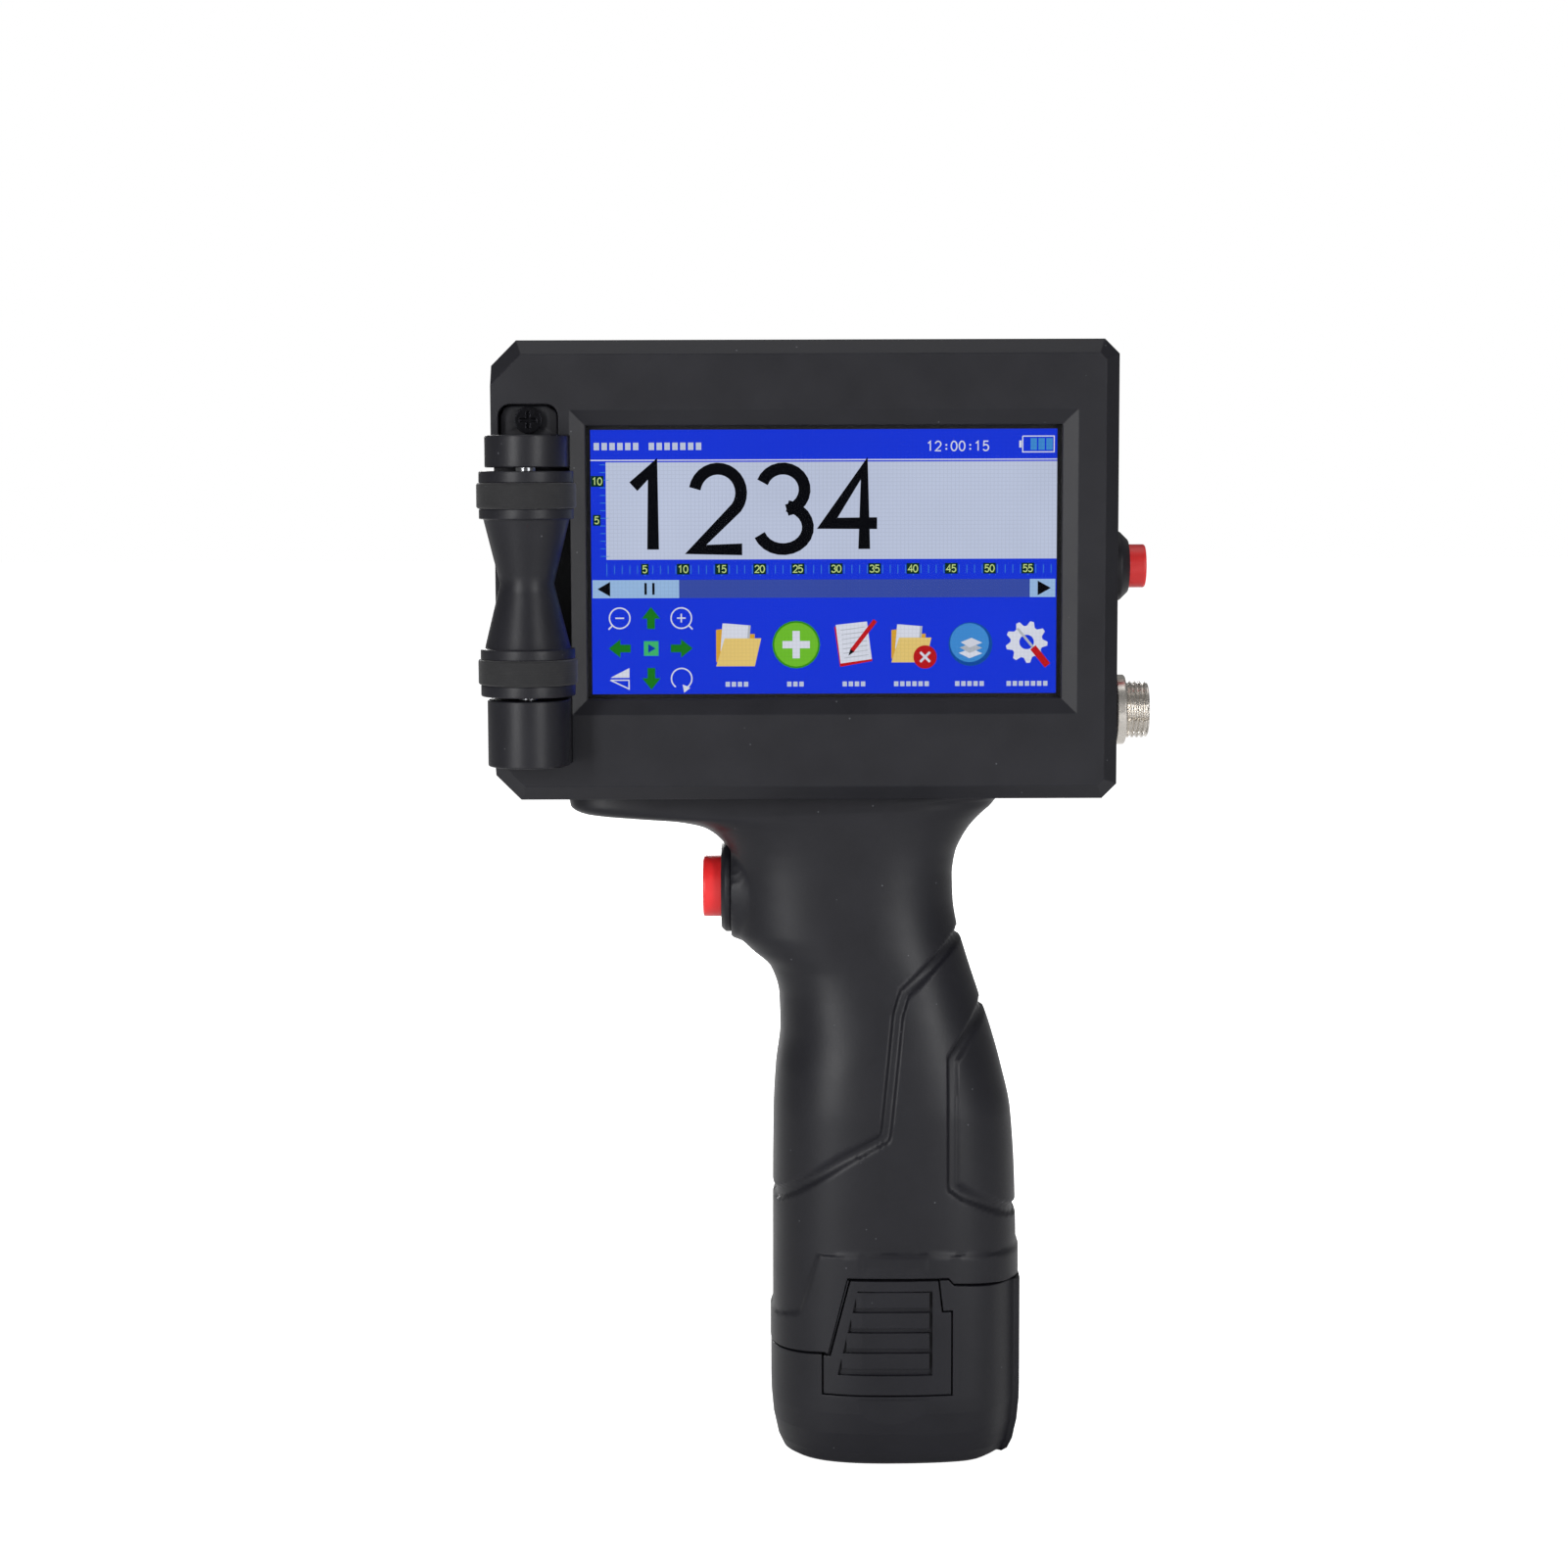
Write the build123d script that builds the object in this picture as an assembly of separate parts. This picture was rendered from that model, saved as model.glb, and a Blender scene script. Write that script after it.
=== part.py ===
from build123d import *
import os
from math import cos, pi, sin, sqrt

# Handheld date code inkjet printer, all sizes in millimetres.
# Frame: origin at the centre of the battery's flat foot, +Z up through the grip,
# -Y towards the operator who reads the screen, -X towards the surface that is printed.

# ---- head housing
HEAD_LEFT = -82.7
HEAD_WIDTH = 127.4
HEAD_BOTTOM = 143.8
HEAD_HEIGHT = 93.6
HEAD_FRONT = -30.0
HEAD_DEPTH = 70.0
HEAD_SPLIT = 8.0
HEAD_WALL = 2.5
LEFT_CORNER = 5.1
RIGHT_CORNER = 3.0
EDGE_BEVEL = 2.9
HEAD_RIGHT = HEAD_LEFT + HEAD_WIDTH
HEAD_TOP = HEAD_BOTTOM + HEAD_HEIGHT
HEAD_REAR = HEAD_FRONT + HEAD_DEPTH

# ---- screen
SCREEN_BELOW_TOP = 45.0
SCREEN_Z = HEAD_TOP - SCREEN_BELOW_TOP
LIT_WIDTH = 95.04
LIT_HEIGHT = 53.86
WINDOW_EDGE = 0.9
SLOPE_WIDTH = 3.1
SLOPE_DEPTH = 1.4
LIP = 0.6
PANEL_LEFT = 2.2
PANEL_RIGHT = 5.4
PANEL_BELOW = 6.4
PANEL_ABOVE = 6.0
GLASS = 1.2
GASKET = 0.6
LCD_DEPTH = 3.4
PANEL_CLEAR = 0.2
GLASS_Y = HEAD_FRONT + SLOPE_DEPTH + LIP

# ---- guide roller, its axis is vertical
TYRE_R = 10.0
TYRE_THICK = 1.5
TYRE_PROUD = 0.5
ROLLER_OUT = 2.45
ROLLER_ABOVE_SCREEN = 18.7
TROUGH_DEPTH = 6.0
TROUGH_CLEAR = 2.0
TROUGH_SIDE = 0.33
FLANGE_R = TYRE_R - TYRE_PROUD
TYRE_SEAT_R = TYRE_R - TYRE_THICK
ROLLER_X = HEAD_LEFT - ROLLER_OUT + TYRE_R
ROLLER_Y = HEAD_FRONT + TROUGH_DEPTH - TROUGH_CLEAR - TYRE_R
ROLLER_TOP = SCREEN_Z + ROLLER_ABOVE_SCREEN
TROUGH_RIGHT = ROLLER_X + sqrt(TYRE_R ** 2 - (HEAD_FRONT - ROLLER_Y) ** 2) + TROUGH_SIDE
SCREEN_X = TROUGH_RIGHT + SLOPE_WIDTH + WINDOW_EDGE + LIT_WIDTH / 2
CONE_R = 8.65
WAIST_R = 5.45
END_FLANGE = 2.35
TYRE_WIDTH = 5.1
INNER_FLANGE = 2.1
CONE_LENGTH = 13.0
SHAFT_R = 2.0
RUNNING_CLEAR = 0.03
ROLLER_GAP = 0.7
TROUGH_FLOOR = 2.0
TROUGH_WALL = 1.2
HOLDER_R = 8.25
HOLDER_HEIGHT = 6.45
LOWER_HOLDER_HEIGHT = 13.5
BEARING_R = 4.0
BEARING_LENGTH = 3.4
BEARING_FLANGE_R = 5.0
BEARING_FLANGE = 0.5
BEARING_SEAT = 1.2
TAB_WIDTH = 12.2
TAB_HEIGHT = 6.3
TAB_THICK = 2.0
TAB_POCKET = 4.5
TAB_CLEAR = 0.25
DISC_R = 6.0
DISC_THICK = 0.6
HUB_R = 3.4
HUB_HEIGHT = 2.4
ENCODER_WALL = 1.5
DISC_RISE = 6.6
TAB_ROUND = 2.5
TYRE_ROUND = 0.5

# ---- main board and fasteners
BOARD_Y = -18.6
BOARD_THICK = 1.6
BOARD_LEFT = SCREEN_X - 42.7
BOARD_RIGHT = SCREEN_X + 48.3
BOARD_BELOW = 6.6
BOARD_EDGE = 3.2
BOARD_SCREW_INSET = 5.0
SCREW_R = 1.4
SCREW_HEAD_R = 2.75
SCREW_HEAD = 1.8
PILOT_R = 1.4
BOSS_R = 2.9
BOSS_INSET = 5.7
BOSS_SIDE = 6.2
BOSS_GAP = 0.3
LOW_BOSS_IN = 19.2
HIGH_BOSS_IN = 10.7
PILOT_DEPTH = 14.0
SCREW_SINK = 0.3
HEAD_CLEAR = 0.25
# chips as x and z from the screen's centre, width, height and thickness
CHIPS = [(-14.7, 12.6, 16, 16, 1.4), (9.3, 15.6, 12, 9, 1.2), (-28.7, -6.4, 8, 12, 1.2),
         (7.3, -12.4, 10, 10, 1.6), (29.3, -16.4, 6, 8, 3.0), (27.3, 11.6, 7, 5, 1.0)]
CAPACITORS = [(-32.7, 15.6), (-32.7, 25.6), (37.3, -26.4), (-4.7, -22.4)]
CAPACITOR_R = 2.5
CAPACITOR_TALL = 2.4

# ---- ink cartridge bay
CART_LENGTH = 64.0
CART_DEPTH = 27.0
CART_HEIGHT = 60.0
CART_WALL = 1.5
CART_LEFT = HEAD_LEFT + 8.7
CART_REAR = HEAD_REAR - 4.0
CART_Z = SCREEN_Z + 1.5
LID_THICK = 3.0
SNOUT_DEPTH = 21.0
SNOUT_HEIGHT = 26.0
NOZZLE_THICK = 0.5
NOZZLE_PROUD = 0.4
NOZZLE_EDGE = 2.0
BAY_CLEAR = 0.5
BAY_WALL = 1.6
SNOUT_CLEAR = 0.6
LATCH_THICK = 3.0
LATCH_HEIGHT = 22.0
LATCH_GAP = 0.3
LATCH_OUT = 3.0
LATCH_SWING = 8.2
LATCH_PIN_R = 1.2
LATCH_BARREL_R = 2.6
EAR = 3.0
EAR_GAP = 0.3
LATCH_SPRING = 4.0
LATCH_SPRING_R = 2.0
PIVOT_IN = 4.0
CONTACT_BOARD = 1.4
CONTACT_R = 0.5
CONTACT_HOLE = 0.25
CONTACT_PITCH = 3.2
CONTACT_ROWS = 6
CONTACT_COLUMNS = 4

# ---- push buttons
TRIGGER_FACE = -35.0
TRIGGER_BELOW_HEAD = 21.7
TRIGGER_Z = HEAD_BOTTOM - TRIGGER_BELOW_HEAD
POWER_Y = -5.0
POWER_Z = SCREEN_Z - 1.7
BUTTON_CLEAR = 0.25
BUTTON_TRAVEL = 2.5
TRIGGER = {"bezel_r": 9.85, "bezel": 2.1, "bush_r": 8.0, "bush": 16.0, "cap_r": 6.6,
           "cap_out": 3.9, "cap": 10.0, "edge": 0.9, "nut_r": 9.6, "wall": 4.0}
POWER = {"bezel_r": 7.25, "bezel": 4.4, "bush_r": 6.0, "bush": 13.0, "cap_r": 4.55,
         "cap_out": 3.6, "cap": 10.0, "edge": 1.8, "nut_r": 7.6, "wall": HEAD_WALL}
NUT_THICK = 2.6
PLUNGER_R = 1.6
SPRING_WIRE = 0.6
BUTTON_FLOOR = 3.0

# ---- round sensor socket
SOCKET_Y = -5.0
SOCKET_Z = SCREEN_Z - 32.1
SOCKET_R = 6.0
SOCKET_OUT = 4.9
SOCKET_FLANGE_R = 7.4
SOCKET_FLANGE = 2.2
SOCKET_GASKET = 1.7
SOCKET_BORE_R = 4.9
SOCKET_IN = 9.0
SOCKET_DEPTH = 6.0
PIN_R = 0.6
PIN_CIRCLE_R = 2.7
PIN_COUNT = 4

# ---- data socket on the back
USB_X = 22.0
USB_Z = SCREEN_Z + 16.0
USB_WIDTH = 13.2
USB_HEIGHT = 5.8
USB_DEPTH = 14.0
USB_SKIN = 0.5
USB_BACK = 1.5

# ---- grip: height, left edge, right edge, half depth
GRIP_SECTIONS = [
    (24.0, -26.7, 26.7, 21.6),
    (42.0, -26.5, 26.5, 21.6),
    (58.5, -26.4, 26.1, 21.6),
    (74.0, -26.1, 25.0, 21.4),
    (83.0, -25.6, 23.1, 20.8),
    (92.0, -24.6, 20.6, 19.6),
    (99.0, -24.8, 18.2, 18.6),
    (105.0, -26.6, 16.2, 17.9),
    (109.5, -31.4, 14.8, 17.6),
    (113.0, -34.4, 13.6, 17.5),
    (122.0, -34.9, 12.6, 17.4),
    (130.0, -35.2, 13.0, 17.6),
    (138.0, -38.0, 16.6, 18.6),
    (HEAD_BOTTOM, -42.0, 21.4, 20.0),
]
SECTION_POWER = 2.8
GRIP_WALL = 2.4
GRIP_TOP_CAVITY = 4.0
WING_TIP = -69.2
WING_TIP_HEIGHT = 3.4
WING_HALF_DEPTH = 17.0
SHELF_Z = 88.0
SHELF = 2.0
CABLE_X = -11.0
CABLE_Y = -3.0
CABLE_R = 7.0
SHELF_HOLE_X = -3.0
SHELF_HOLE_R = 5.0
GRIP_SCREW_SPOTS = [(-15.0, 98.0), (9.0, 98.0), (4.0, 130.0)]
GRIP_SCREW_SEAT = 12.0
SECTION_STEP = 12.0
SECTION_POINTS = 8
NECK_SCREW_X = (-58.0, 8.0)
NECK_SCREW_Y = (-11.0, 11.0)
NECK_SCREW_LENGTH = 4.6
SEAM_GAP = 0.4

# ---- battery
FOOT_HALF_X = 26.8
FOOT_HALF_Y = 22.4
FOOT_FLAT_X = 23.2
FOOT_FLAT_Y = 18.4
FOOT_TAPER = 15.0
STEM_TOP = 73.0
STEM_CLEAR = 0.4
STEM_WALL = 1.0
STEM_SEAT = 9.0
FOOT_FLOOR = 3.0
CELL_R = 9.1
CELL_LENGTH = 65.0
CELL_GAP = 0.05
CELL_BACK = 0.5
BLADE_HEIGHT = 6.0
BLADE_WIDTH = 5.0
BLADE_THICK = 0.8
BLADE_SPOTS = (-12.0, -4.0, 4.0, 12.0)
BLADE_CLEAR = 0.3
CLIP_THICK = 0.6
TERMINAL_BLOCK = (34.0, 16.0)
LATCH_CASE_GAP = 0.35
LATCH_SKIN = 2.0
LATCH_TRAVEL = 1.2
RIB_HEIGHT = 3.4
RIB_RECESS = 1.0
RIB_COUNT = 4
LABEL_RECESS = 0.3

# lower edge of the grip, read as x and z from left to right; the battery's top follows it
SEAM = [(-40.0, 24.0), (-26.8, 24.1), (-15.4, 25.0), (-14.6, 24.6), (-10.5, 41.3), (10.8, 41.3),
        (12.0, 40.0), (26.8, 38.7), (40.0, 38.7)]
LATCH_OUTLINE = [(-15.6, 16.2), (11.4, 16.2), (11.4, 34.0), (9.4, 34.0), (8.6, 40.8), (-9.9, 40.8),
                 (-14.1, 24.4), (-15.6, 24.4)]
RIB_PANEL = [(-12.6, 20.4), (7.4, 20.4), (7.4, 38.6), (-8.4, 38.6)]
LABEL = (-15.4, 11.4, 5.0, 15.2)


# ======== helpers
def block(x0, x1, y0, y1, z0, z1):
    return Pos((x0 + x1) / 2, (y0 + y1) / 2, (z0 + z1) / 2) * Box(x1 - x0, y1 - y0, z1 - z0)


def rod_x(y, z, radius, x0, x1):
    return Pos((x0 + x1) / 2, y, z) * Rot(0, 90, 0) * Cylinder(radius, x1 - x0)


def rod_y(x, z, radius, y0, y1):
    return Pos(x, (y0 + y1) / 2, z) * Rot(90, 0, 0) * Cylinder(radius, y1 - y0)


def rod_z(x, y, radius, z0, z1):
    return Pos(x, y, (z0 + z1) / 2) * Cylinder(radius, z1 - z0)


def prism_y(points, y0, y1):
    """A solid from y0 to y1 whose outline in x and z is the closed polygon of the points."""
    outline = make_face(Plane.XZ.offset(-y0) * Polyline(*points, close=True))
    return extrude(outline, amount=y1 - y0, dir=(0, 1, 0))


def ring_z(x, y, outer, inner, z0, z1):
    return rod_z(x, y, outer, z0, z1) - rod_z(x, y, inner, z0 - 1, z1 + 1)


def pan_screw_y(x, z, head_y, length, way):
    """A cross-recess screw along y; way is +1 where its tip points to +y."""
    tip = head_y + way * length
    head_end = head_y - way * SCREW_HEAD
    screw = rod_y(x, z, SCREW_R, min(head_y, tip), max(head_y, tip))
    screw += rod_y(x, z, SCREW_HEAD_R, min(head_y, head_end), max(head_y, head_end))
    slot_end = head_end + way * SCREW_HEAD * 0.55
    low, high = min(head_end - way, slot_end), max(head_end - way, slot_end)
    screw -= block(x - 1.7, x + 1.7, low, high, z - 0.35, z + 0.35)
    screw -= block(x - 0.35, x + 0.35, low, high, z - 1.7, z + 1.7)
    return screw


def one(shape):
    """The biggest solid of a boolean's result."""
    return max(shape.solids(), key=lambda solid: solid.volume)


NODES = {}


def keep(name, *shapes):
    solids = [solid for shape in shapes for solid in shape.solids()]
    NODES[name] = solids[0] if len(solids) == 1 else Compound(children=solids)


# ======== head shells
def head_outline(inset):
    left, right = HEAD_LEFT + inset, HEAD_RIGHT - inset
    low, high = HEAD_BOTTOM + inset, HEAD_TOP - inset
    return [(left, low + LEFT_CORNER), (left + LEFT_CORNER, low), (right - RIGHT_CORNER, low),
            (right, low + RIGHT_CORNER), (right, high - RIGHT_CORNER), (right - RIGHT_CORNER, high),
            (left + LEFT_CORNER, high), (left, high - LEFT_CORNER)]


def bevelled(solid, at_rear):
    """Bevels the rim of the head's front or back, all round but for the edge on the printing side."""
    face = solid.faces().sort_by(Axis.Y)[-1 if at_rear else 0]
    rim = [edge for edge in face.edges() if edge.center().X > HEAD_LEFT + 0.1]
    return chamfer(rim, EDGE_BEVEL)


WINDOW_LEFT = SCREEN_X - LIT_WIDTH / 2 - WINDOW_EDGE
WINDOW_RIGHT = SCREEN_X + LIT_WIDTH / 2 + WINDOW_EDGE
WINDOW_LOW = SCREEN_Z - LIT_HEIGHT / 2 - WINDOW_EDGE
WINDOW_HIGH = SCREEN_Z + LIT_HEIGHT / 2 + WINDOW_EDGE
PANEL = (SCREEN_X - LIT_WIDTH / 2 - PANEL_LEFT, SCREEN_X + LIT_WIDTH / 2 + PANEL_RIGHT,
         SCREEN_Z - LIT_HEIGHT / 2 - PANEL_BELOW, SCREEN_Z + LIT_HEIGHT / 2 + PANEL_ABOVE)

ROLLER_LENGTH = 2 * (END_FLANGE + TYRE_WIDTH + INNER_FLANGE + CONE_LENGTH)
ROLLER_LOW = ROLLER_TOP - ROLLER_LENGTH
HOLDER_LOW = ROLLER_TOP + ROLLER_GAP
HOLDER_TOP = HOLDER_LOW + HOLDER_HEIGHT
LOWER_TOP = ROLLER_LOW - ROLLER_GAP
LOWER_LOW = LOWER_TOP - LOWER_HOLDER_HEIGHT
TROUGH_Y = HEAD_FRONT + TROUGH_DEPTH
TAB_SEAT_Y = HEAD_FRONT + TAB_POCKET
TAB_TOP = HOLDER_TOP + TAB_HEIGHT
TAB_SCREW_Z = HOLDER_TOP + TAB_HEIGHT / 2 - 0.1

BOARD_LOW = HEAD_BOTTOM + HEAD_WALL + BOARD_BELOW
BOARD_HIGH = HEAD_TOP - HEAD_WALL - BOARD_EDGE
BOARD_SCREWS = [(x, z) for x in (BOARD_LEFT + BOARD_SCREW_INSET, BOARD_RIGHT - BOARD_SCREW_INSET)
                for z in (PANEL[2] - BOSS_GAP - BOSS_R, PANEL[3] + BOSS_GAP + BOSS_R)]
SHELL_SCREWS = [(HEAD_LEFT + LOW_BOSS_IN, HEAD_BOTTOM + BOSS_INSET),
                (HEAD_RIGHT - BOSS_SIDE, HEAD_BOTTOM + BOSS_INSET),
                (HEAD_RIGHT - BOSS_SIDE, HEAD_TOP - BOSS_INSET),
                (HEAD_LEFT + HIGH_BOSS_IN, HEAD_TOP - BOSS_INSET)]

CART_RIGHT = CART_LEFT + CART_LENGTH
CART_FRONT = CART_REAR - CART_DEPTH
CART_LOW = CART_Z - CART_HEIGHT / 2
CART_HIGH = CART_Z + CART_HEIGHT / 2
BAY_LEFT = CART_LEFT - BAY_CLEAR - BAY_WALL
BAY_RIGHT = CART_RIGHT + LATCH_GAP + LATCH_THICK + LATCH_SWING + BAY_WALL
BAY_FRONT = CART_FRONT - BAY_CLEAR - BAY_WALL
BAY_LOW = CART_LOW - BAY_CLEAR - BAY_WALL
BAY_HIGH = CART_HIGH + BAY_CLEAR + BAY_WALL
SNOUT_Y = (CART_FRONT + CART_REAR) / 2


def window_cut():
    wide, tall = WINDOW_RIGHT - WINDOW_LEFT, WINDOW_HIGH - WINDOW_LOW
    centre = Pos(SCREEN_X, SCREEN_Z)
    mouth = Plane.XZ.offset(-HEAD_FRONT) * centre * Rectangle(wide + 2 * SLOPE_WIDTH, tall + 2 * SLOPE_WIDTH)
    throat = Plane.XZ.offset(-HEAD_FRONT - SLOPE_DEPTH) * centre * Rectangle(wide, tall)
    slope = loft([mouth, throat])
    inner = HEAD_FRONT + HEAD_WALL + 1
    opening = block(WINDOW_LEFT, WINDOW_RIGHT, HEAD_FRONT, inner, WINDOW_LOW, WINDOW_HIGH)
    gap = PANEL_CLEAR / 2
    seat = block(PANEL[0] - gap, PANEL[1] + gap, GLASS_Y, inner, PANEL[2] - gap, PANEL[3] + gap)
    return slope + opening + seat


def trough(grow):
    """The space for the roller, open to the front and the printing side; grow adds its walls."""
    side = grow and TROUGH_WALL
    space = block(HEAD_LEFT - 1, TROUGH_RIGHT + side, HEAD_FRONT - 1, TROUGH_Y + (grow and TROUGH_FLOOR),
                  LOWER_LOW - side, HOLDER_TOP + side)
    return space


def tab_pocket(grow):
    side = grow and TROUGH_WALL
    deep = TAB_SEAT_Y + (grow and TROUGH_FLOOR)
    pocket = block(ROLLER_X - TAB_WIDTH / 2 - side, ROLLER_X + TAB_WIDTH / 2 + side, HEAD_FRONT - 1, deep,
                   HOLDER_TOP - 1, TAB_TOP + side)
    top_edges = pocket.edges().filter_by(Axis.Y).sort_by(Axis.Z)[-2:]
    return fillet(top_edges, TAB_ROUND)


def front_shell():
    rim = HEAD_SPLIT - HEAD_FRONT
    outer = bevelled(prism_y(head_outline(0), HEAD_FRONT, HEAD_SPLIT), False)
    cavity = prism_y(head_outline(HEAD_WALL), HEAD_FRONT + HEAD_WALL, HEAD_FRONT + rim + 1)
    cavity -= trough(True)
    cavity -= tab_pocket(True)
    cavity -= rod_y(ROLLER_X, TAB_SCREW_Z, BOSS_R, HEAD_FRONT, TAB_SEAT_Y + 8)
    for x, z in SHELL_SCREWS:
        cavity -= rod_y(x, z, BOSS_R, HEAD_FRONT, HEAD_SPLIT + 2)
    for x, z in BOARD_SCREWS:
        cavity -= rod_y(x, z, BOSS_R, HEAD_FRONT, BOARD_Y)
    shell = outer - cavity - window_cut() - trough(False) - tab_pocket(False)
    for x, z in SHELL_SCREWS:
        shell -= rod_y(x, z, PILOT_R, HEAD_SPLIT - PILOT_DEPTH, HEAD_SPLIT + 1)
    for x, z in BOARD_SCREWS:
        shell -= rod_y(x, z, PILOT_R, BOARD_Y - 6, BOARD_Y + 1)
    shell -= rod_y(ROLLER_X, TAB_SCREW_Z, PILOT_R, TAB_SEAT_Y - 1, TAB_SEAT_Y + 7)
    shell -= rod_x(POWER_Y, POWER_Z, POWER["bush_r"], HEAD_RIGHT - HEAD_WALL - 1, HEAD_RIGHT + 1)
    shell -= rod_x(SOCKET_Y, SOCKET_Z, SOCKET_R, HEAD_RIGHT - HEAD_WALL - 1, HEAD_RIGHT + 1)
    shell -= rod_z(CABLE_X, CABLE_Y, CABLE_R, HEAD_BOTTOM - 1, HEAD_BOTTOM + HEAD_WALL + 1)
    for x in NECK_SCREW_X:
        shell -= rod_z(x, NECK_SCREW_Y[0], SCREW_R, HEAD_BOTTOM - 1, HEAD_BOTTOM + HEAD_WALL + 1)
    keep("front_shell", one(shell))


def rear_shell():
    outer = bevelled(prism_y(head_outline(0), HEAD_SPLIT, HEAD_REAR), True)
    cavity = prism_y(head_outline(HEAD_WALL), HEAD_SPLIT - 1, HEAD_REAR - HEAD_WALL)
    for x, z in SHELL_SCREWS:
        cavity -= rod_y(x, z, BOSS_R, HEAD_SPLIT - 2, HEAD_REAR)
    shell = outer - cavity
    shell -= block(BAY_LEFT, BAY_RIGHT, HEAD_REAR - HEAD_WALL - 1, HEAD_REAR + 1, BAY_LOW, BAY_HIGH)
    shell -= block(HEAD_LEFT - 1, BAY_LEFT + 1, SNOUT_Y - SNOUT_DEPTH / 2 - SNOUT_CLEAR, HEAD_REAR + 1,
                   CART_Z - SNOUT_HEIGHT / 2 - SNOUT_CLEAR, CART_Z + SNOUT_HEIGHT / 2 + SNOUT_CLEAR)
    shell -= block(USB_X - USB_WIDTH / 2, USB_X + USB_WIDTH / 2, HEAD_REAR - HEAD_WALL - 1, HEAD_REAR + 1,
                   USB_Z - USB_HEIGHT / 2, USB_Z + USB_HEIGHT / 2)
    for x, z in SHELL_SCREWS:
        shell -= rod_y(x, z, PILOT_R, HEAD_SPLIT - 1, HEAD_REAR + 1)
        shell -= rod_y(x, z, SCREW_HEAD_R + HEAD_CLEAR, HEAD_REAR - SCREW_HEAD - SCREW_SINK, HEAD_REAR + 1)
    for x in NECK_SCREW_X:
        shell -= rod_z(x, NECK_SCREW_Y[1], SCREW_R, HEAD_BOTTOM - 1, HEAD_BOTTOM + HEAD_WALL + 1)
    keep("rear_shell", one(shell))


def head_fasteners():
    length = HEAD_REAR - HEAD_SPLIT + 10
    seat = HEAD_REAR - SCREW_HEAD - SCREW_SINK
    keep("shell_screws", *[pan_screw_y(x, z, seat, length, -1) for x, z in SHELL_SCREWS])
    keep("board_screws", *[pan_screw_y(x, z, BOARD_Y + BOARD_THICK, 6, -1) for x, z in BOARD_SCREWS])
    seat_z = HEAD_BOTTOM + HEAD_WALL
    screws = []
    for x in NECK_SCREW_X:
        for y in NECK_SCREW_Y:
            shank = rod_z(x, y, SCREW_R, seat_z - HEAD_WALL - NECK_SCREW_LENGTH, seat_z)
            screws.append(shank + rod_z(x, y, SCREW_HEAD_R, seat_z, seat_z + SCREW_HEAD))
    keep("neck_screws", *screws)


# ======== screen stack and boards
LCD_Y = GLASS_Y + GLASS + GASKET


def screen():
    left, right, low, high = PANEL
    keep("touch_panel", block(left, right, GLASS_Y, GLASS_Y + GLASS, low, high))
    gasket = block(left, right, GLASS_Y + GLASS, LCD_Y, low, high)
    keep("lcd_gasket", gasket - block(WINDOW_LEFT, WINDOW_RIGHT, GLASS_Y, LCD_Y + 1, WINDOW_LOW, WINDOW_HIGH))
    keep("lcd_module", block(left, right, LCD_Y, LCD_Y + LCD_DEPTH, low, high))


def boards():
    board = block(BOARD_LEFT, BOARD_RIGHT, BOARD_Y, BOARD_Y + BOARD_THICK, BOARD_LOW, BOARD_HIGH)
    for x, z in BOARD_SCREWS:
        board -= rod_y(x, z, SCREW_R, BOARD_Y - 1, BOARD_Y + BOARD_THICK + 1)
    keep("main_board", board)
    back = BOARD_Y + BOARD_THICK
    chips = []
    for right, up, width, height, tall in CHIPS:
        x, z = SCREEN_X + right, SCREEN_Z + up
        chips.append(block(x - width / 2, x + width / 2, back, back + tall, z - height / 2, z + height / 2))
    for right, up in CAPACITORS:
        x, z = SCREEN_X + right, SCREEN_Z + up
        chips.append(rod_y(x, z, CAPACITOR_R, back, back + CAPACITOR_TALL))
    keep("board_chips", *chips)


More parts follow.
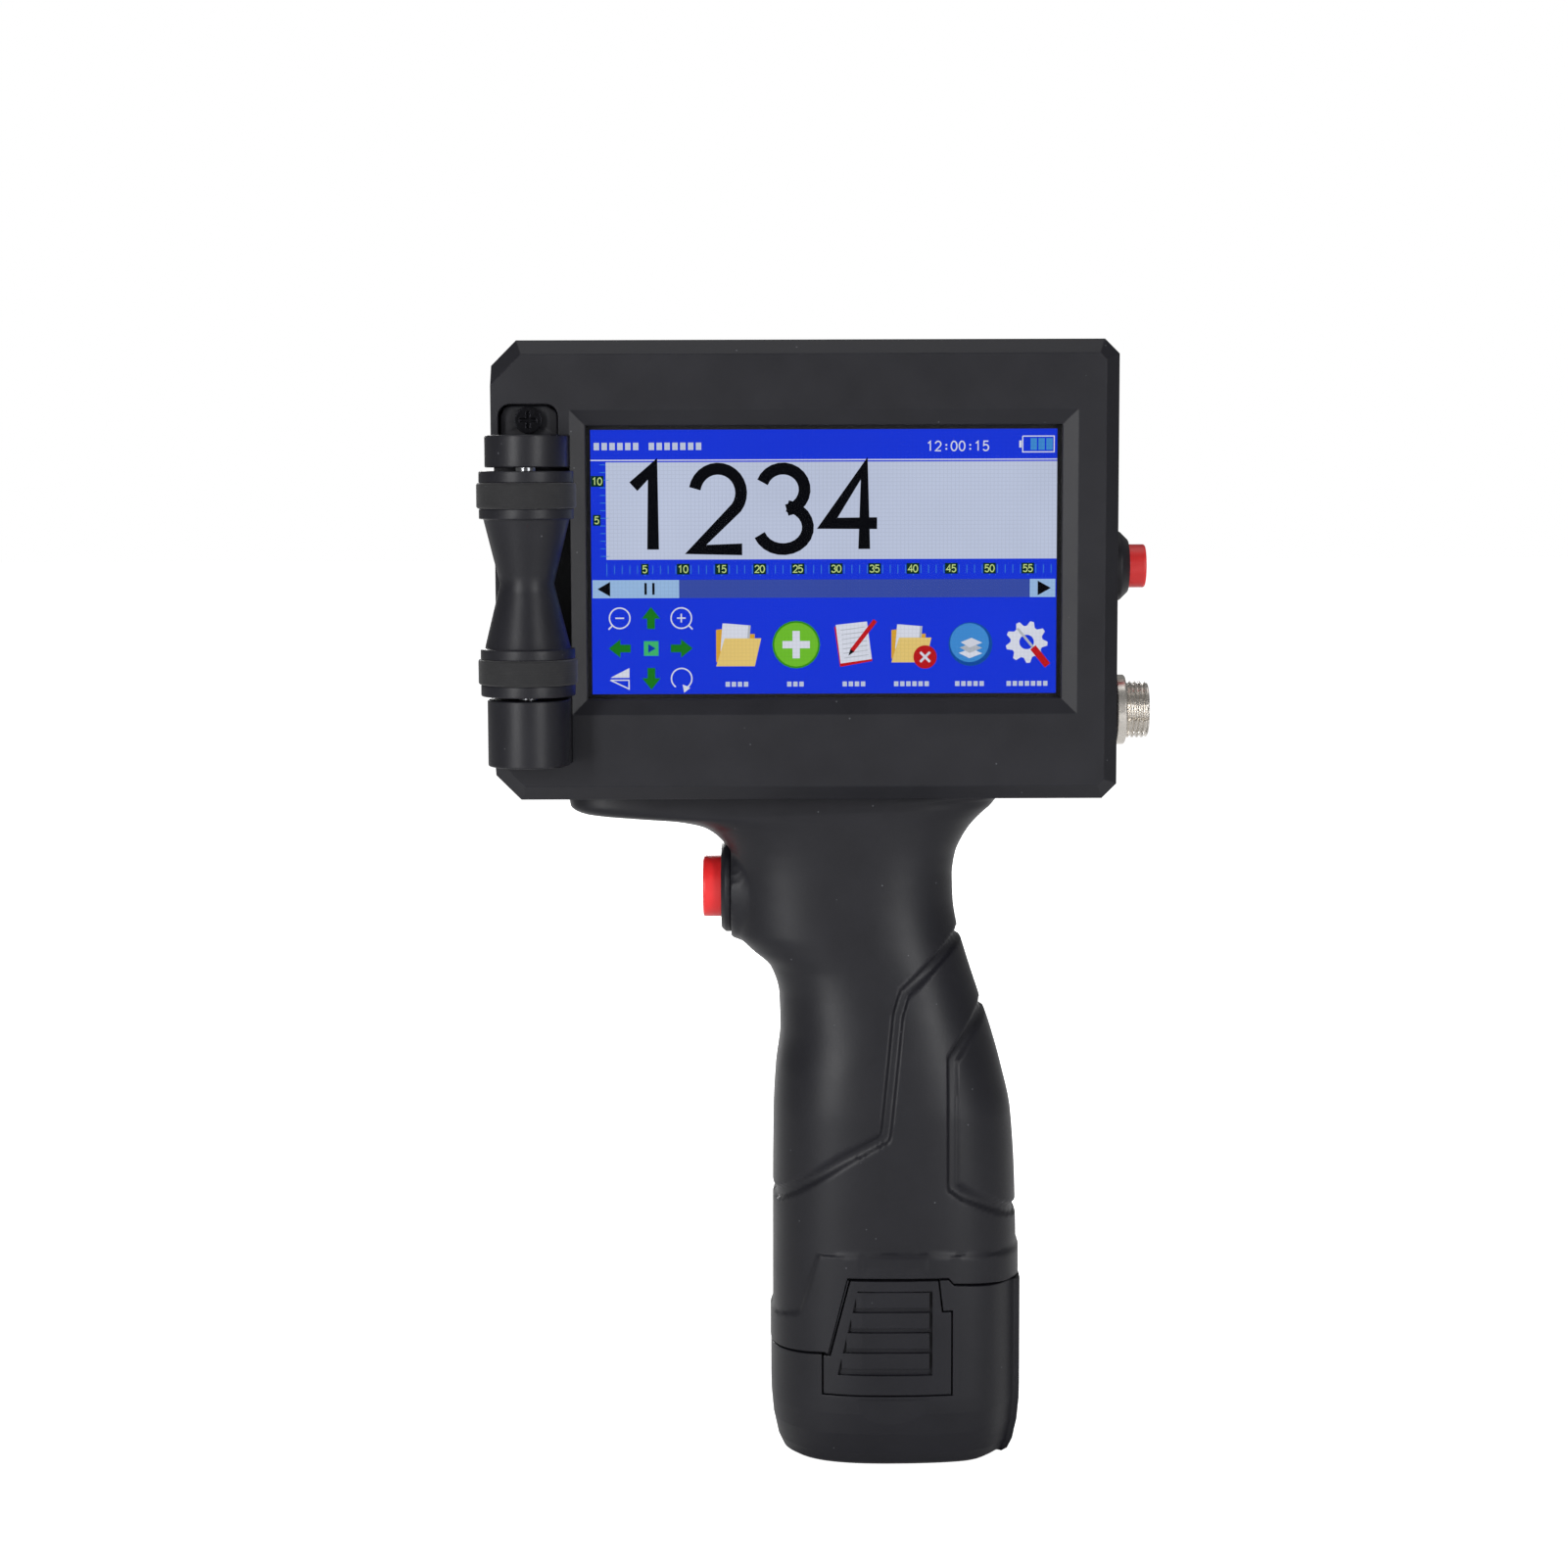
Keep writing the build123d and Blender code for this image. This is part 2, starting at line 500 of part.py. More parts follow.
# ======== roller
def roller():
    x, y = ROLLER_X, ROLLER_Y
    heights = [0, END_FLANGE, TYRE_WIDTH, INNER_FLANGE, CONE_LENGTH]
    level = [ROLLER_TOP]
    for step in heights[1:]:
        level.append(level[-1] - step)
    middle = level[-1]
    half = [(SHAFT_R, level[0]), (FLANGE_R, level[0]), (FLANGE_R, level[1]), (TYRE_SEAT_R, level[1]),
            (TYRE_SEAT_R, level[2]), (FLANGE_R, level[2]), (FLANGE_R, level[3]), (CONE_R, level[3])]
    lower = [(radius, 2 * middle - z) for radius, z in reversed(half)]
    outline = half + [(WAIST_R, middle)] + lower
    profile = make_face(Plane.XZ * Polyline(*outline, close=True))
    core = Pos(x, y, 0) * revolve(profile, Axis.Z)
    keep("roller_core", core)
    for name, top in (("roller_tyre_upper", level[1]), ("roller_tyre_lower", 2 * middle - level[2])):
        tyre = ring_z(x, y, TYRE_R, TYRE_SEAT_R, top - TYRE_WIDTH, top)
        outside = [edge for edge in tyre.edges().filter_by(GeomType.CIRCLE) if edge.radius > TYRE_R - 0.1]
        keep(name, fillet(outside, TYRE_ROUND))
    shaft_low, shaft_top = LOWER_LOW + ENCODER_WALL + 0.5, HOLDER_TOP - ENCODER_WALL - 0.3
    keep("roller_shaft", rod_z(x, y, SHAFT_R, shaft_low, shaft_top))
    disc_z = LOWER_LOW + DISC_RISE
    disc = rod_z(x, y, DISC_R, disc_z, disc_z + DISC_THICK) + rod_z(x, y, HUB_R, disc_z, disc_z + HUB_HEIGHT)
    keep("encoder_disc", disc - rod_z(x, y, SHAFT_R, disc_z - 1, disc_z + HUB_HEIGHT + 1))
    board_y = TROUGH_Y - 1.2
    sensor = block(x - 5.4, x + 5.4, board_y, TROUGH_Y, LOWER_LOW + 2.2, LOWER_TOP - 2.2)
    reach = y + BEARING_R + BEARING_SEAT + 0.15
    sensor += block(x - 3, x + 3, reach, board_y + 0.1, disc_z - 3, disc_z + DISC_THICK + 2.6)
    sensor -= block(x - 4, x + 4, reach - 1, y + DISC_R + 0.4, disc_z - 0.5, disc_z + DISC_THICK + 0.5)
    sensor -= rod_z(x, y, HUB_R + 0.5, LOWER_LOW, LOWER_TOP)
    keep("encoder_sensor", one(sensor))


def bearing(x, y, z0, z1, flange_at_top):
    body = rod_z(x, y, BEARING_R, z0, z1)
    if flange_at_top:
        body += rod_z(x, y, BEARING_FLANGE_R, z1 - BEARING_FLANGE, z1)
    else:
        body += rod_z(x, y, BEARING_FLANGE_R, z0, z0 + BEARING_FLANGE)
    return body


def roller_holders():
    x, y = ROLLER_X, ROLLER_Y
    bracket = rod_z(x, y, HOLDER_R, HOLDER_LOW, HOLDER_TOP)
    bracket += block(x - HOLDER_R, x + HOLDER_R, y, TROUGH_Y, HOLDER_LOW, HOLDER_TOP)
    half = TAB_WIDTH / 2 - TAB_CLEAR
    tab = block(x - half, x + half, TAB_SEAT_Y - TAB_THICK, TAB_SEAT_Y, HOLDER_LOW + 1, TAB_TOP - TAB_CLEAR)
    top_edges = tab.edges().filter_by(Axis.Y).sort_by(Axis.Z)[-2:]
    bracket += fillet(top_edges, TAB_ROUND - TAB_CLEAR)
    bracket -= rod_y(x, TAB_SCREW_Z, SCREW_R, TAB_SEAT_Y - TAB_THICK - 1, TAB_SEAT_Y + 1)
    upper = bearing(x, y, HOLDER_LOW, HOLDER_LOW + BEARING_LENGTH, False)
    bracket -= upper
    bracket -= rod_z(x, y, SHAFT_R + 0.3, HOLDER_LOW, HOLDER_TOP - ENCODER_WALL)
    keep("roller_top_bracket", one(bracket))
    keep("roller_bearing_upper", upper - rod_z(x, y, SHAFT_R + RUNNING_CLEAR, HOLDER_LOW - 1, HOLDER_TOP))
    keep("roller_bracket_screw", pan_screw_y(x, TAB_SCREW_Z, TAB_SEAT_Y - TAB_THICK, 8.4, 1))

    housing = rod_z(x, y, HOLDER_R, LOWER_LOW, LOWER_TOP)
    housing += block(x - HOLDER_R, x + HOLDER_R, y, TROUGH_Y, LOWER_LOW, LOWER_TOP)
    room = HOLDER_R - ENCODER_WALL
    hollow = rod_z(x, y, room, LOWER_LOW + ENCODER_WALL, LOWER_TOP - ENCODER_WALL)
    hollow += block(x - room, x + room, y, TROUGH_Y + 1, LOWER_LOW + ENCODER_WALL, LOWER_TOP - ENCODER_WALL)
    seat_top = LOWER_LOW + ENCODER_WALL + 0.3 + BEARING_LENGTH
    hollow -= ring_z(x, y, BEARING_R + BEARING_SEAT, BEARING_R, LOWER_LOW, seat_top - BEARING_FLANGE)
    housing -= hollow
    housing -= rod_z(x, y, SHAFT_R + 0.5, LOWER_TOP - ENCODER_WALL - 1, LOWER_TOP + 1)
    keep("roller_lower_housing", one(housing))
    lower = bearing(x, y, LOWER_LOW + ENCODER_WALL, seat_top, True)
    bore = rod_z(x, y, SHAFT_R + RUNNING_CLEAR, LOWER_LOW + ENCODER_WALL + 0.4, LOWER_TOP)
    keep("roller_bearing_lower", lower - bore)


# ======== ink cartridge and its bay
def cartridge():
    body = block(CART_LEFT, CART_RIGHT - LID_THICK, CART_FRONT, CART_REAR, CART_LOW, CART_HIGH)
    body = fillet(body.edges().filter_by(Axis.X), 2.0)
    snout_left = HEAD_LEFT - NOZZLE_PROUD + NOZZLE_THICK
    snout = block(snout_left, CART_LEFT + 1, SNOUT_Y - SNOUT_DEPTH / 2, SNOUT_Y + SNOUT_DEPTH / 2,
                  CART_Z - SNOUT_HEIGHT / 2, CART_Z + SNOUT_HEIGHT / 2)
    body += fillet(snout.edges().filter_by(Axis.X), 1.0)
    room = block(CART_LEFT + CART_WALL, CART_RIGHT, CART_FRONT + CART_WALL, CART_REAR - CART_WALL,
                 CART_LOW + CART_WALL, CART_HIGH - CART_WALL)
    keep("ink_cartridge_body", one(body - room))
    bag = block(CART_LEFT + CART_WALL + 0.2, CART_RIGHT - LID_THICK - 1.8, CART_FRONT + CART_WALL + 0.2,
                CART_REAR - CART_WALL - 0.2, CART_LOW + CART_WALL + 0.2, CART_HIGH - CART_WALL - 16)
    keep("ink_sponge", bag)
    lid = block(CART_RIGHT - LID_THICK, CART_RIGHT, CART_FRONT, CART_REAR, CART_LOW, CART_HIGH)
    lid = fillet(lid.edges().filter_by(Axis.X), 2.0)
    plug = block(CART_RIGHT - LID_THICK - 1.6, CART_RIGHT - 1, CART_FRONT + CART_WALL + 0.1,
                 CART_REAR - CART_WALL - 0.1, CART_LOW + CART_WALL + 0.1, CART_HIGH - CART_WALL - 0.1)
    keep("cartridge_lid", one(lid + plug))
    face = HEAD_LEFT - NOZZLE_PROUD
    plate = block(face, face + NOZZLE_THICK, SNOUT_Y - SNOUT_DEPTH / 2 + NOZZLE_EDGE,
                  SNOUT_Y + SNOUT_DEPTH / 2 - NOZZLE_EDGE, CART_Z - SNOUT_HEIGHT / 2 + NOZZLE_EDGE,
                  CART_Z + SNOUT_HEIGHT / 2 - NOZZLE_EDGE)
    keep("nozzle_plate", plate)


PIVOT_X = CART_RIGHT + LATCH_GAP + LATCH_THICK
PIVOT_Y = CART_FRONT + PIVOT_IN
LATCH_LOW = CART_Z - LATCH_HEIGHT / 2
LATCH_HIGH = CART_Z + LATCH_HEIGHT / 2


def contact_spots():
    for column in range(CONTACT_COLUMNS):
        for row in range(CONTACT_ROWS):
            yield (CART_LEFT + 4 + column * CONTACT_PITCH,
                   CART_Z + (row - (CONTACT_ROWS - 1) / 2) * CONTACT_PITCH)


def cartridge_bay():
    cradle = block(BAY_LEFT, BAY_RIGHT, BAY_FRONT, HEAD_REAR, BAY_LOW, BAY_HIGH)
    cradle -= block(BAY_LEFT + BAY_WALL, BAY_RIGHT - BAY_WALL, BAY_FRONT + BAY_WALL, HEAD_REAR + 1,
                    BAY_LOW + BAY_WALL, BAY_HIGH - BAY_WALL)
    side = SNOUT_HEIGHT / 2 + SNOUT_CLEAR
    cradle -= block(BAY_LEFT - 1, BAY_LEFT + BAY_WALL + 1, SNOUT_Y - SNOUT_DEPTH / 2 - SNOUT_CLEAR,
                    HEAD_REAR + 1, CART_Z - side, CART_Z + side)
    for z0 in (LATCH_LOW - EAR_GAP - EAR, LATCH_HIGH + LATCH_SPRING + EAR_GAP):
        ear = block(PIVOT_X - 2, PIVOT_X + 2, BAY_FRONT + 1, PIVOT_Y, z0, z0 + EAR)
        ear += rod_z(PIVOT_X, PIVOT_Y, 2.0, z0, z0 + EAR)
        cradle += ear - rod_z(PIVOT_X, PIVOT_Y, LATCH_PIN_R, z0 - 1, z0 + EAR + 1)
    for x, z in contact_spots():
        cradle -= rod_y(x, z, CONTACT_R + CONTACT_HOLE, BAY_FRONT - 1, BAY_FRONT + BAY_WALL + 1)
    keep("cartridge_cradle", one(cradle))
    spots = list(contact_spots())
    low, high = spots[0], spots[-1]
    board = block(low[0] - 3, high[0] + 6, BAY_FRONT - CONTACT_BOARD, BAY_FRONT, low[1] - 4, high[1] + 4)
    keep("contact_board", board)
    keep("contact_pins", *[rod_y(x, z, CONTACT_R, BAY_FRONT, CART_FRONT - 0.05) for x, z in spots])


def cartridge_latch():
    lever = block(PIVOT_X - LATCH_THICK, PIVOT_X, PIVOT_Y, HEAD_REAR + LATCH_OUT, LATCH_LOW, LATCH_HIGH)
    lever = fillet(lever.edges().filter_by(Axis.X).sort_by(Axis.Y)[-2:], 4.0)
    lever += rod_z(PIVOT_X, PIVOT_Y, LATCH_BARREL_R, LATCH_LOW, LATCH_HIGH)
    for step in range(3):
        lever += rod_z(PIVOT_X, HEAD_REAR + LATCH_OUT - 2.2 - 2.2 * step, 0.6, LATCH_LOW + 4, LATCH_HIGH - 4)
    lever -= rod_z(PIVOT_X, PIVOT_Y, LATCH_PIN_R + RUNNING_CLEAR, LATCH_LOW - 1, LATCH_HIGH + 1)
    keep("cartridge_latch", one(lever))
    low = LATCH_LOW - EAR_GAP - EAR
    high = LATCH_HIGH + LATCH_SPRING + EAR_GAP + EAR
    keep("latch_pin", rod_z(PIVOT_X, PIVOT_Y, LATCH_PIN_R, low, high))
    spring = ring_z(PIVOT_X, PIVOT_Y, LATCH_SPRING_R, LATCH_PIN_R + 0.1, LATCH_HIGH + 0.1,
                    LATCH_HIGH + LATCH_SPRING)
    keep("cartridge_latch_spring", spring)


# ======== push buttons
def push_button(name, size, place):
    """Four pieces built along +X, with the wall's outer face at x = 0 and the operator at -X."""
    front = -size["bezel"]
    floor = size["bush"] - BUTTON_FLOOR
    bore = size["cap_r"] + BUTTON_CLEAR
    rim = rod_x(0, 0, size["bezel_r"], front, 0)
    outer = [edge for edge in rim.edges().filter_by(GeomType.CIRCLE) if edge.center().X < front / 2]
    bezel = chamfer(outer, size["edge"]) + rod_x(0, 0, size["bush_r"], 0, size["bush"])
    bezel -= rod_x(0, 0, bore, front - 1, floor)
    for side in (-1, 1):
        bezel += block(size["bush"] - 1, size["bush"] + 3.5, side * 2.5 - 0.4, side * 2.5 + 0.4, -1.2, 1.2)
    cap_front = front - size["cap_out"]
    cap_back = cap_front + size["cap"]
    cap = rod_x(0, 0, size["cap_r"], cap_front, cap_back)
    cap = fillet([edge for edge in cap.edges().filter_by(GeomType.CIRCLE) if edge.center().X < front], 0.5)
    cap += rod_x(0, 0, PLUNGER_R, cap_back, floor - BUTTON_TRAVEL - 0.3)
    spring = rod_x(0, 0, PLUNGER_R + 0.5 + SPRING_WIRE, cap_back, floor)
    spring -= rod_x(0, 0, PLUNGER_R + 0.5, cap_back - 1, floor + 1)
    nut = rod_x(0, 0, size["nut_r"], size["wall"], size["wall"] + NUT_THICK)
    nut -= rod_x(0, 0, size["bush_r"], size["wall"] - 1, size["wall"] + NUT_THICK + 1)
    pieces = {"bezel": bezel, "cap": cap, "spring": spring, "nut": nut}
    for piece, shape in pieces.items():
        keep(f"{name}_{piece}", place * shape)


# ======== sensor socket and data socket
def sockets():
    y, z = SOCKET_Y, SOCKET_Z
    seat = HEAD_RIGHT + SOCKET_GASKET
    gasket = rod_x(y, z, SOCKET_FLANGE_R - 0.4, HEAD_RIGHT, seat)
    keep("sensor_socket_gasket", gasket - rod_x(y, z, SOCKET_R, HEAD_RIGHT - 1, seat + 1))
    tip = seat + SOCKET_FLANGE + SOCKET_OUT
    body = rod_x(y, z, SOCKET_R, HEAD_RIGHT - SOCKET_IN, tip)
    body = chamfer([edge for edge in body.edges().filter_by(GeomType.CIRCLE) if edge.center().X > seat], 0.5)
    flange = rod_x(y, z, SOCKET_FLANGE_R, seat, seat + SOCKET_FLANGE)
    body += chamfer([edge for edge in flange.edges().filter_by(GeomType.CIRCLE)], 0.3)
    body -= rod_x(y, z, SOCKET_BORE_R, HEAD_RIGHT - SOCKET_IN - 1, tip + 1)
    keep("sensor_socket_body", one(body))
    inner = tip - SOCKET_DEPTH
    insert = rod_x(y, z, SOCKET_BORE_R, HEAD_RIGHT - SOCKET_IN, inner)
    pins = []
    for number in range(PIN_COUNT):
        angle = pi / 4 + number * 2 * pi / PIN_COUNT
        pin_y = y + PIN_CIRCLE_R * cos(angle)
        pin_z = z + PIN_CIRCLE_R * sin(angle)
        insert -= rod_x(pin_y, pin_z, PIN_R, HEAD_RIGHT - SOCKET_IN - 1, inner + 1)
        pins.append(rod_x(pin_y, pin_z, PIN_R, HEAD_RIGHT - SOCKET_IN - 3, inner + 4))
    keep("sensor_socket_insert", insert)
    keep("sensor_socket_pins", *pins)
    wall = HEAD_RIGHT - HEAD_WALL
    hexagon = Plane.YZ.offset(wall - NUT_THICK) * Pos(y, z) * RegularPolygon(SOCKET_FLANGE_R, 6)
    nut = extrude(hexagon, amount=NUT_THICK)
    keep("sensor_socket_nut", nut - rod_x(y, z, SOCKET_R, wall - NUT_THICK - 1, wall + 1))

    wide, tall = USB_WIDTH / 2, USB_HEIGHT / 2
    back = HEAD_REAR - USB_DEPTH
    shell = block(USB_X - wide, USB_X + wide, back, HEAD_REAR, USB_Z - tall, USB_Z + tall)
    shell -= block(USB_X - wide + USB_SKIN, USB_X + wide - USB_SKIN, back + USB_BACK, HEAD_REAR + 1,
                   USB_Z - tall + USB_SKIN, USB_Z + tall - USB_SKIN)
    tongue = block(USB_X - wide + 1.2, USB_X + wide - 1.2, back + USB_BACK, HEAD_REAR - 1.2,
                   USB_Z + 0.1, USB_Z + 2.0)
    keep("usb_socket", shell, tongue)


# ======== sections of the grip and the battery
def rounded_half(left, right, half_depth, z, side):
    """Half of a rounded section at height z, closed by a straight line on y = 0."""
    middle = (left + right) / 2
    reach = (right - left) / 2
    points = []
    for number in range(SECTION_POINTS + 1):
        angle = pi * number / SECTION_POINTS
        across = abs(cos(angle)) ** (2 / SECTION_POWER)
        deep = abs(sin(angle)) ** (2 / SECTION_POWER)
        across *= -reach if angle < pi / 2 else reach
        points.append((middle + across, side * half_depth * deep, z))
    points[0] = (left, 0, z)
    points[-1] = (right, 0, z)
    curve = Spline(*points, tangents=[(0, side, 0), (0, -side, 0)])
    return make_face(curve + Line(points[-1], points[0]))


def slope_at(number, item):
    """Slope of one column of the grip's table at a row, flat at a turning point."""
    last = len(GRIP_SECTIONS) - 1
    rises = []
    for low, high in ((number - 1, number), (number, number + 1)):
        if low >= 0 and high <= last:
            a, b = GRIP_SECTIONS[low], GRIP_SECTIONS[high]
            rises.append((b[item] - a[item]) / (b[0] - a[0]))
    if len(rises) == 1:
        return rises[0]
    before, after = rises
    if before * after <= 0:
        return 0.0
    return 2 * before * after / (before + after)


def grip_at(z):
    """Left, right and half depth of the grip at a height, smoothly between the table's rows."""
    number = 0
    while number < len(GRIP_SECTIONS) - 2 and z > GRIP_SECTIONS[number + 1][0]:
        number += 1
    low, high = GRIP_SECTIONS[number], GRIP_SECTIONS[number + 1]
    span = high[0] - low[0]
    t = (z - low[0]) / span
    values = []
    for item in (1, 2, 3):
        start, end = slope_at(number, item) * span, slope_at(number + 1, item) * span
        values.append((2 * t ** 3 - 3 * t ** 2 + 1) * low[item] + (t ** 3 - 2 * t ** 2 + t) * start
                      + (3 * t ** 2 - 2 * t ** 3) * high[item] + (t ** 3 - t ** 2) * end)
    return values


def grip_core(inset, side, low, high):
    """Half of the grip's body, its wall taken off where inset is given, between two heights."""
    count = max(1, round((high - low) / SECTION_STEP))
    faces = []
    for number in range(count + 1):
        z = low + (high - low) * number / count
        left, right, half_depth = grip_at(z)
        faces.append(rounded_half(left + inset, right - inset, half_depth - inset, z, side))
    return loft(faces)


def column(half_x, half_y, z0, z1):
    """A straight prism of the battery's rounded section."""
    halves = [extrude(rounded_half(-half_x, half_x, half_y, z0, side), amount=z1 - z0, dir=(0, 0, 1))
              for side in (-1, 1)]
    return halves[0] + halves[1]


def wing(side):
    """The flange that carries the head: it reaches over the trigger to the printing side."""
    top = HEAD_BOTTOM
    low = TRIGGER_Z + 2
    under = Spline((WING_TIP + 0.4, top - WING_TIP_HEIGHT), (-57.4, top - 5.8), (-43.7, top - 7.2),
                   (-37.2, top - 11.6), (-35.0, low), tangents=[(1, -0.9), (0, -1)])
    edges = under + Line((-35.0, low), (0, low)) + Line((0, low), (0, top))
    edges += Line((0, top), (WING_TIP, top)) + Line((WING_TIP, top), (WING_TIP + 0.4, top - WING_TIP_HEIGHT))
    profile = make_face(Plane.XZ * edges)
    plate = extrude(profile, amount=WING_HALF_DEPTH, dir=(0, side, 0))
    return plate & block(-100, TRIGGER_FACE + 18, -WING_HALF_DEPTH, WING_HALF_DEPTH, low, top)


def seam_cut(drop):
    """Everything below the grip's lower edge, moved down by drop."""
    points = [(x, z - drop) for x, z in SEAM] + [(40.0, -20.0), (-40.0, -20.0)]
    return prism_y(points, -40, 40)


def grip_half(name, side):
    top = HEAD_BOTTOM
    low = GRIP_SECTIONS[0][0]
    body = grip_core(0, side, low, top) + wing(side)
    pad = rod_x(0, TRIGGER_Z, TRIGGER["bezel_r"] + 0.6, TRIGGER_FACE, TRIGGER_FACE + 12)
    near, far = (-40, 0) if side < 0 else (0, 40)
    keep_side = block(-100, 60, near, far, low - 1, top)
    body += pad & keep_side
    room = grip_core(GRIP_WALL, side, low, top - GRIP_TOP_CAVITY)
    room -= grip_core(0, side, SHELF_Z, SHELF_Z + SHELF)
    room -= rod_x(0, TRIGGER_Z, TRIGGER["bezel_r"] + 0.6, TRIGGER_FACE, TRIGGER_FACE + TRIGGER["wall"])
    screw_wall = GRIP_WALL + 1
    for x, z in GRIP_SCREW_SPOTS:
        room -= rod_y(x, z, BOSS_R, near, far)
    body -= room
    body -= rod_x(0, TRIGGER_Z, TRIGGER["bush_r"], TRIGGER_FACE - 1, TRIGGER_FACE + TRIGGER["wall"] + 1)
    body -= rod_x(0, TRIGGER_Z, TRIGGER["bezel_r"] + 0.1, TRIGGER_FACE - 8, TRIGGER_FACE)
    body -= rod_x(0, TRIGGER_Z, TRIGGER["nut_r"] + 0.3, TRIGGER_FACE + TRIGGER["wall"],
                  TRIGGER_FACE + TRIGGER["bush"] + 4)
    body -= rod_z(CABLE_X, CABLE_Y, CABLE_R, top - GRIP_TOP_CAVITY - 1, top + 1)
    body -= rod_z(SHELF_HOLE_X, 0, SHELF_HOLE_R, SHELF_Z - 1, SHELF_Z + SHELF + 1)
    neck_y = NECK_SCREW_Y[0] if side < 0 else NECK_SCREW_Y[1]
    for x in NECK_SCREW_X:
        body -= rod_z(x, neck_y, PILOT_R, top - NECK_SCREW_LENGTH - 0.2, top + 1)
    for x, z in GRIP_SCREW_SPOTS:
        if side < 0:
            body -= rod_y(x, z, PILOT_R, -screw_wall - 6, 1)
        else:
            body -= rod_y(x, z, PILOT_R, -1, 40)
            body -= rod_y(x, z, SCREW_HEAD_R + HEAD_CLEAR, GRIP_SCREW_SEAT, 40)
    body -= seam_cut(0)
    keep(name, one(body))


def grip_screws():
    keep("grip_screws", *[pan_screw_y(x, z, GRIP_SCREW_SEAT, 18.0, -1) for x, z in GRIP_SCREW_SPOTS])


# ======== battery
STEM_LEFT, STEM_RIGHT, STEM_HALF_Y = grip_at(STEM_TOP)
STEM_HALF_X = min(-STEM_LEFT, STEM_RIGHT) - GRIP_WALL - STEM_CLEAR
STEM_HALF_Y = STEM_HALF_Y - GRIP_WALL - STEM_CLEAR
CELL_LOW = FOOT_FLOOR + 0.2
CELL_TOP = CELL_LOW + CELL_LENGTH


def foot_outer():
    """The battery's outside: drawn in towards its flat foot and straight above."""
    faces = {-1: [], 1: []}
    for share in (0.0, 0.05, 0.2, 0.5, 0.8, 1.0):
        swell = sqrt(1 - (1 - share) ** 2)
        half_x = FOOT_FLAT_X + (FOOT_HALF_X - FOOT_FLAT_X) * swell
        half_y = FOOT_FLAT_Y + (FOOT_HALF_Y - FOOT_FLAT_Y) * swell
        for side in (-1, 1):
            faces[side].append(rounded_half(-half_x, half_x, half_y, FOOT_TAPER * share, side))
    base = loft(faces[-1], ruled=True) + loft(faces[1], ruled=True)
    top = max(z for x, z in SEAM)
    return base + column(FOOT_HALF_X, FOOT_HALF_Y, FOOT_TAPER, top + 1)


def latch_room():
    """The hollow for one latch and its travel, as a ring of the section's skin."""
    low = LATCH_OUTLINE[0][1] - 1
    high = max(z for x, z in SEAM) + 2
    outer = column(FOOT_HALF_X + 1, FOOT_HALF_Y + 1, low, high)
    return outer - column(FOOT_HALF_X - LATCH_SKIN - LATCH_TRAVEL, FOOT_HALF_Y - LATCH_SKIN - LATCH_TRAVEL,
                          low - 1, high + 1)


def latch_shadow(gap, side):
    """The latch's outline, widened by gap, through one face of the battery."""
    wide = prism_y(LATCH_OUTLINE, -30, -10)
    if gap:
        face = make_face(Plane.XZ * Polyline(*LATCH_OUTLINE, close=True))
        face = offset(face, gap, kind=Kind.INTERSECTION)
        wide = Pos(0, -30, 0) * extrude(face, amount=20, dir=(0, 1, 0))
    return wide if side < 0 else mirror(wide, Plane.XZ)


def battery_case():
    lower = foot_outer()
    bore_low = STEM_SEAT
    lower -= column(STEM_HALF_X + 0.05, STEM_HALF_Y + 0.05, bore_low, 60)
    lower -= column(STEM_HALF_X - STEM_WALL, STEM_HALF_Y - STEM_WALL, FOOT_FLOOR, bore_low + 1)
    room = latch_room()
    for side in (-1, 1):
        lower -= room & latch_shadow(LATCH_CASE_GAP, side)
    top = max(z for x, z in SEAM)
    above = block(-60, 60, -40, 40, -30, top + 20) - seam_cut(SEAM_GAP)
    lower -= above
    left, right, low, high = LABEL
    for side in (-1, 1):
        depth = FOOT_HALF_Y - LABEL_RECESS
        y0, y1 = (-40, -depth) if side < 0 else (depth, 40)
        lower -= block(left, right, y0, y1, low, high)
    keep("battery_case_lower", one(lower))

    stem = column(STEM_HALF_X, STEM_HALF_Y, STEM_SEAT, STEM_TOP)
    stem -= column(STEM_HALF_X - STEM_WALL, STEM_HALF_Y - STEM_WALL, STEM_SEAT - 1,
                   STEM_TOP - STEM_WALL - 0.5)
    for x in BLADE_SPOTS:
        stem -= block(x - BLADE_THICK / 2, x + BLADE_THICK / 2, -BLADE_WIDTH / 2, BLADE_WIDTH / 2,
                      STEM_TOP - 5, STEM_TOP + 1)
    keep("battery_case_upper", one(stem))


def battery_inside():
    side = CELL_R + CELL_GAP
    back = sqrt((2 * CELL_R + CELL_GAP) ** 2 - side ** 2)
    front_y = -back / 2 + CELL_BACK
    spots = ((-side, front_y), (side, front_y), (0, front_y + back))
    cells = []
    for x, y in spots:
        cell = rod_z(x, y, CELL_R, CELL_LOW, CELL_TOP - 0.6)
        cells.append(cell + rod_z(x, y, 3.0, CELL_TOP - 0.6, CELL_TOP))
    keep("battery_cells", *cells)
    board_top = CELL_TOP + 1.2
    keep("battery_board", block(-15, 15, -9, 9, CELL_TOP, board_top))
    half, deep, blade_top = BLADE_THICK / 2, BLADE_WIDTH / 2, STEM_TOP + BLADE_HEIGHT
    keep("battery_contacts", *[block(x - half, x + half, -deep, deep, board_top, blade_top)
                               for x in BLADE_SPOTS])


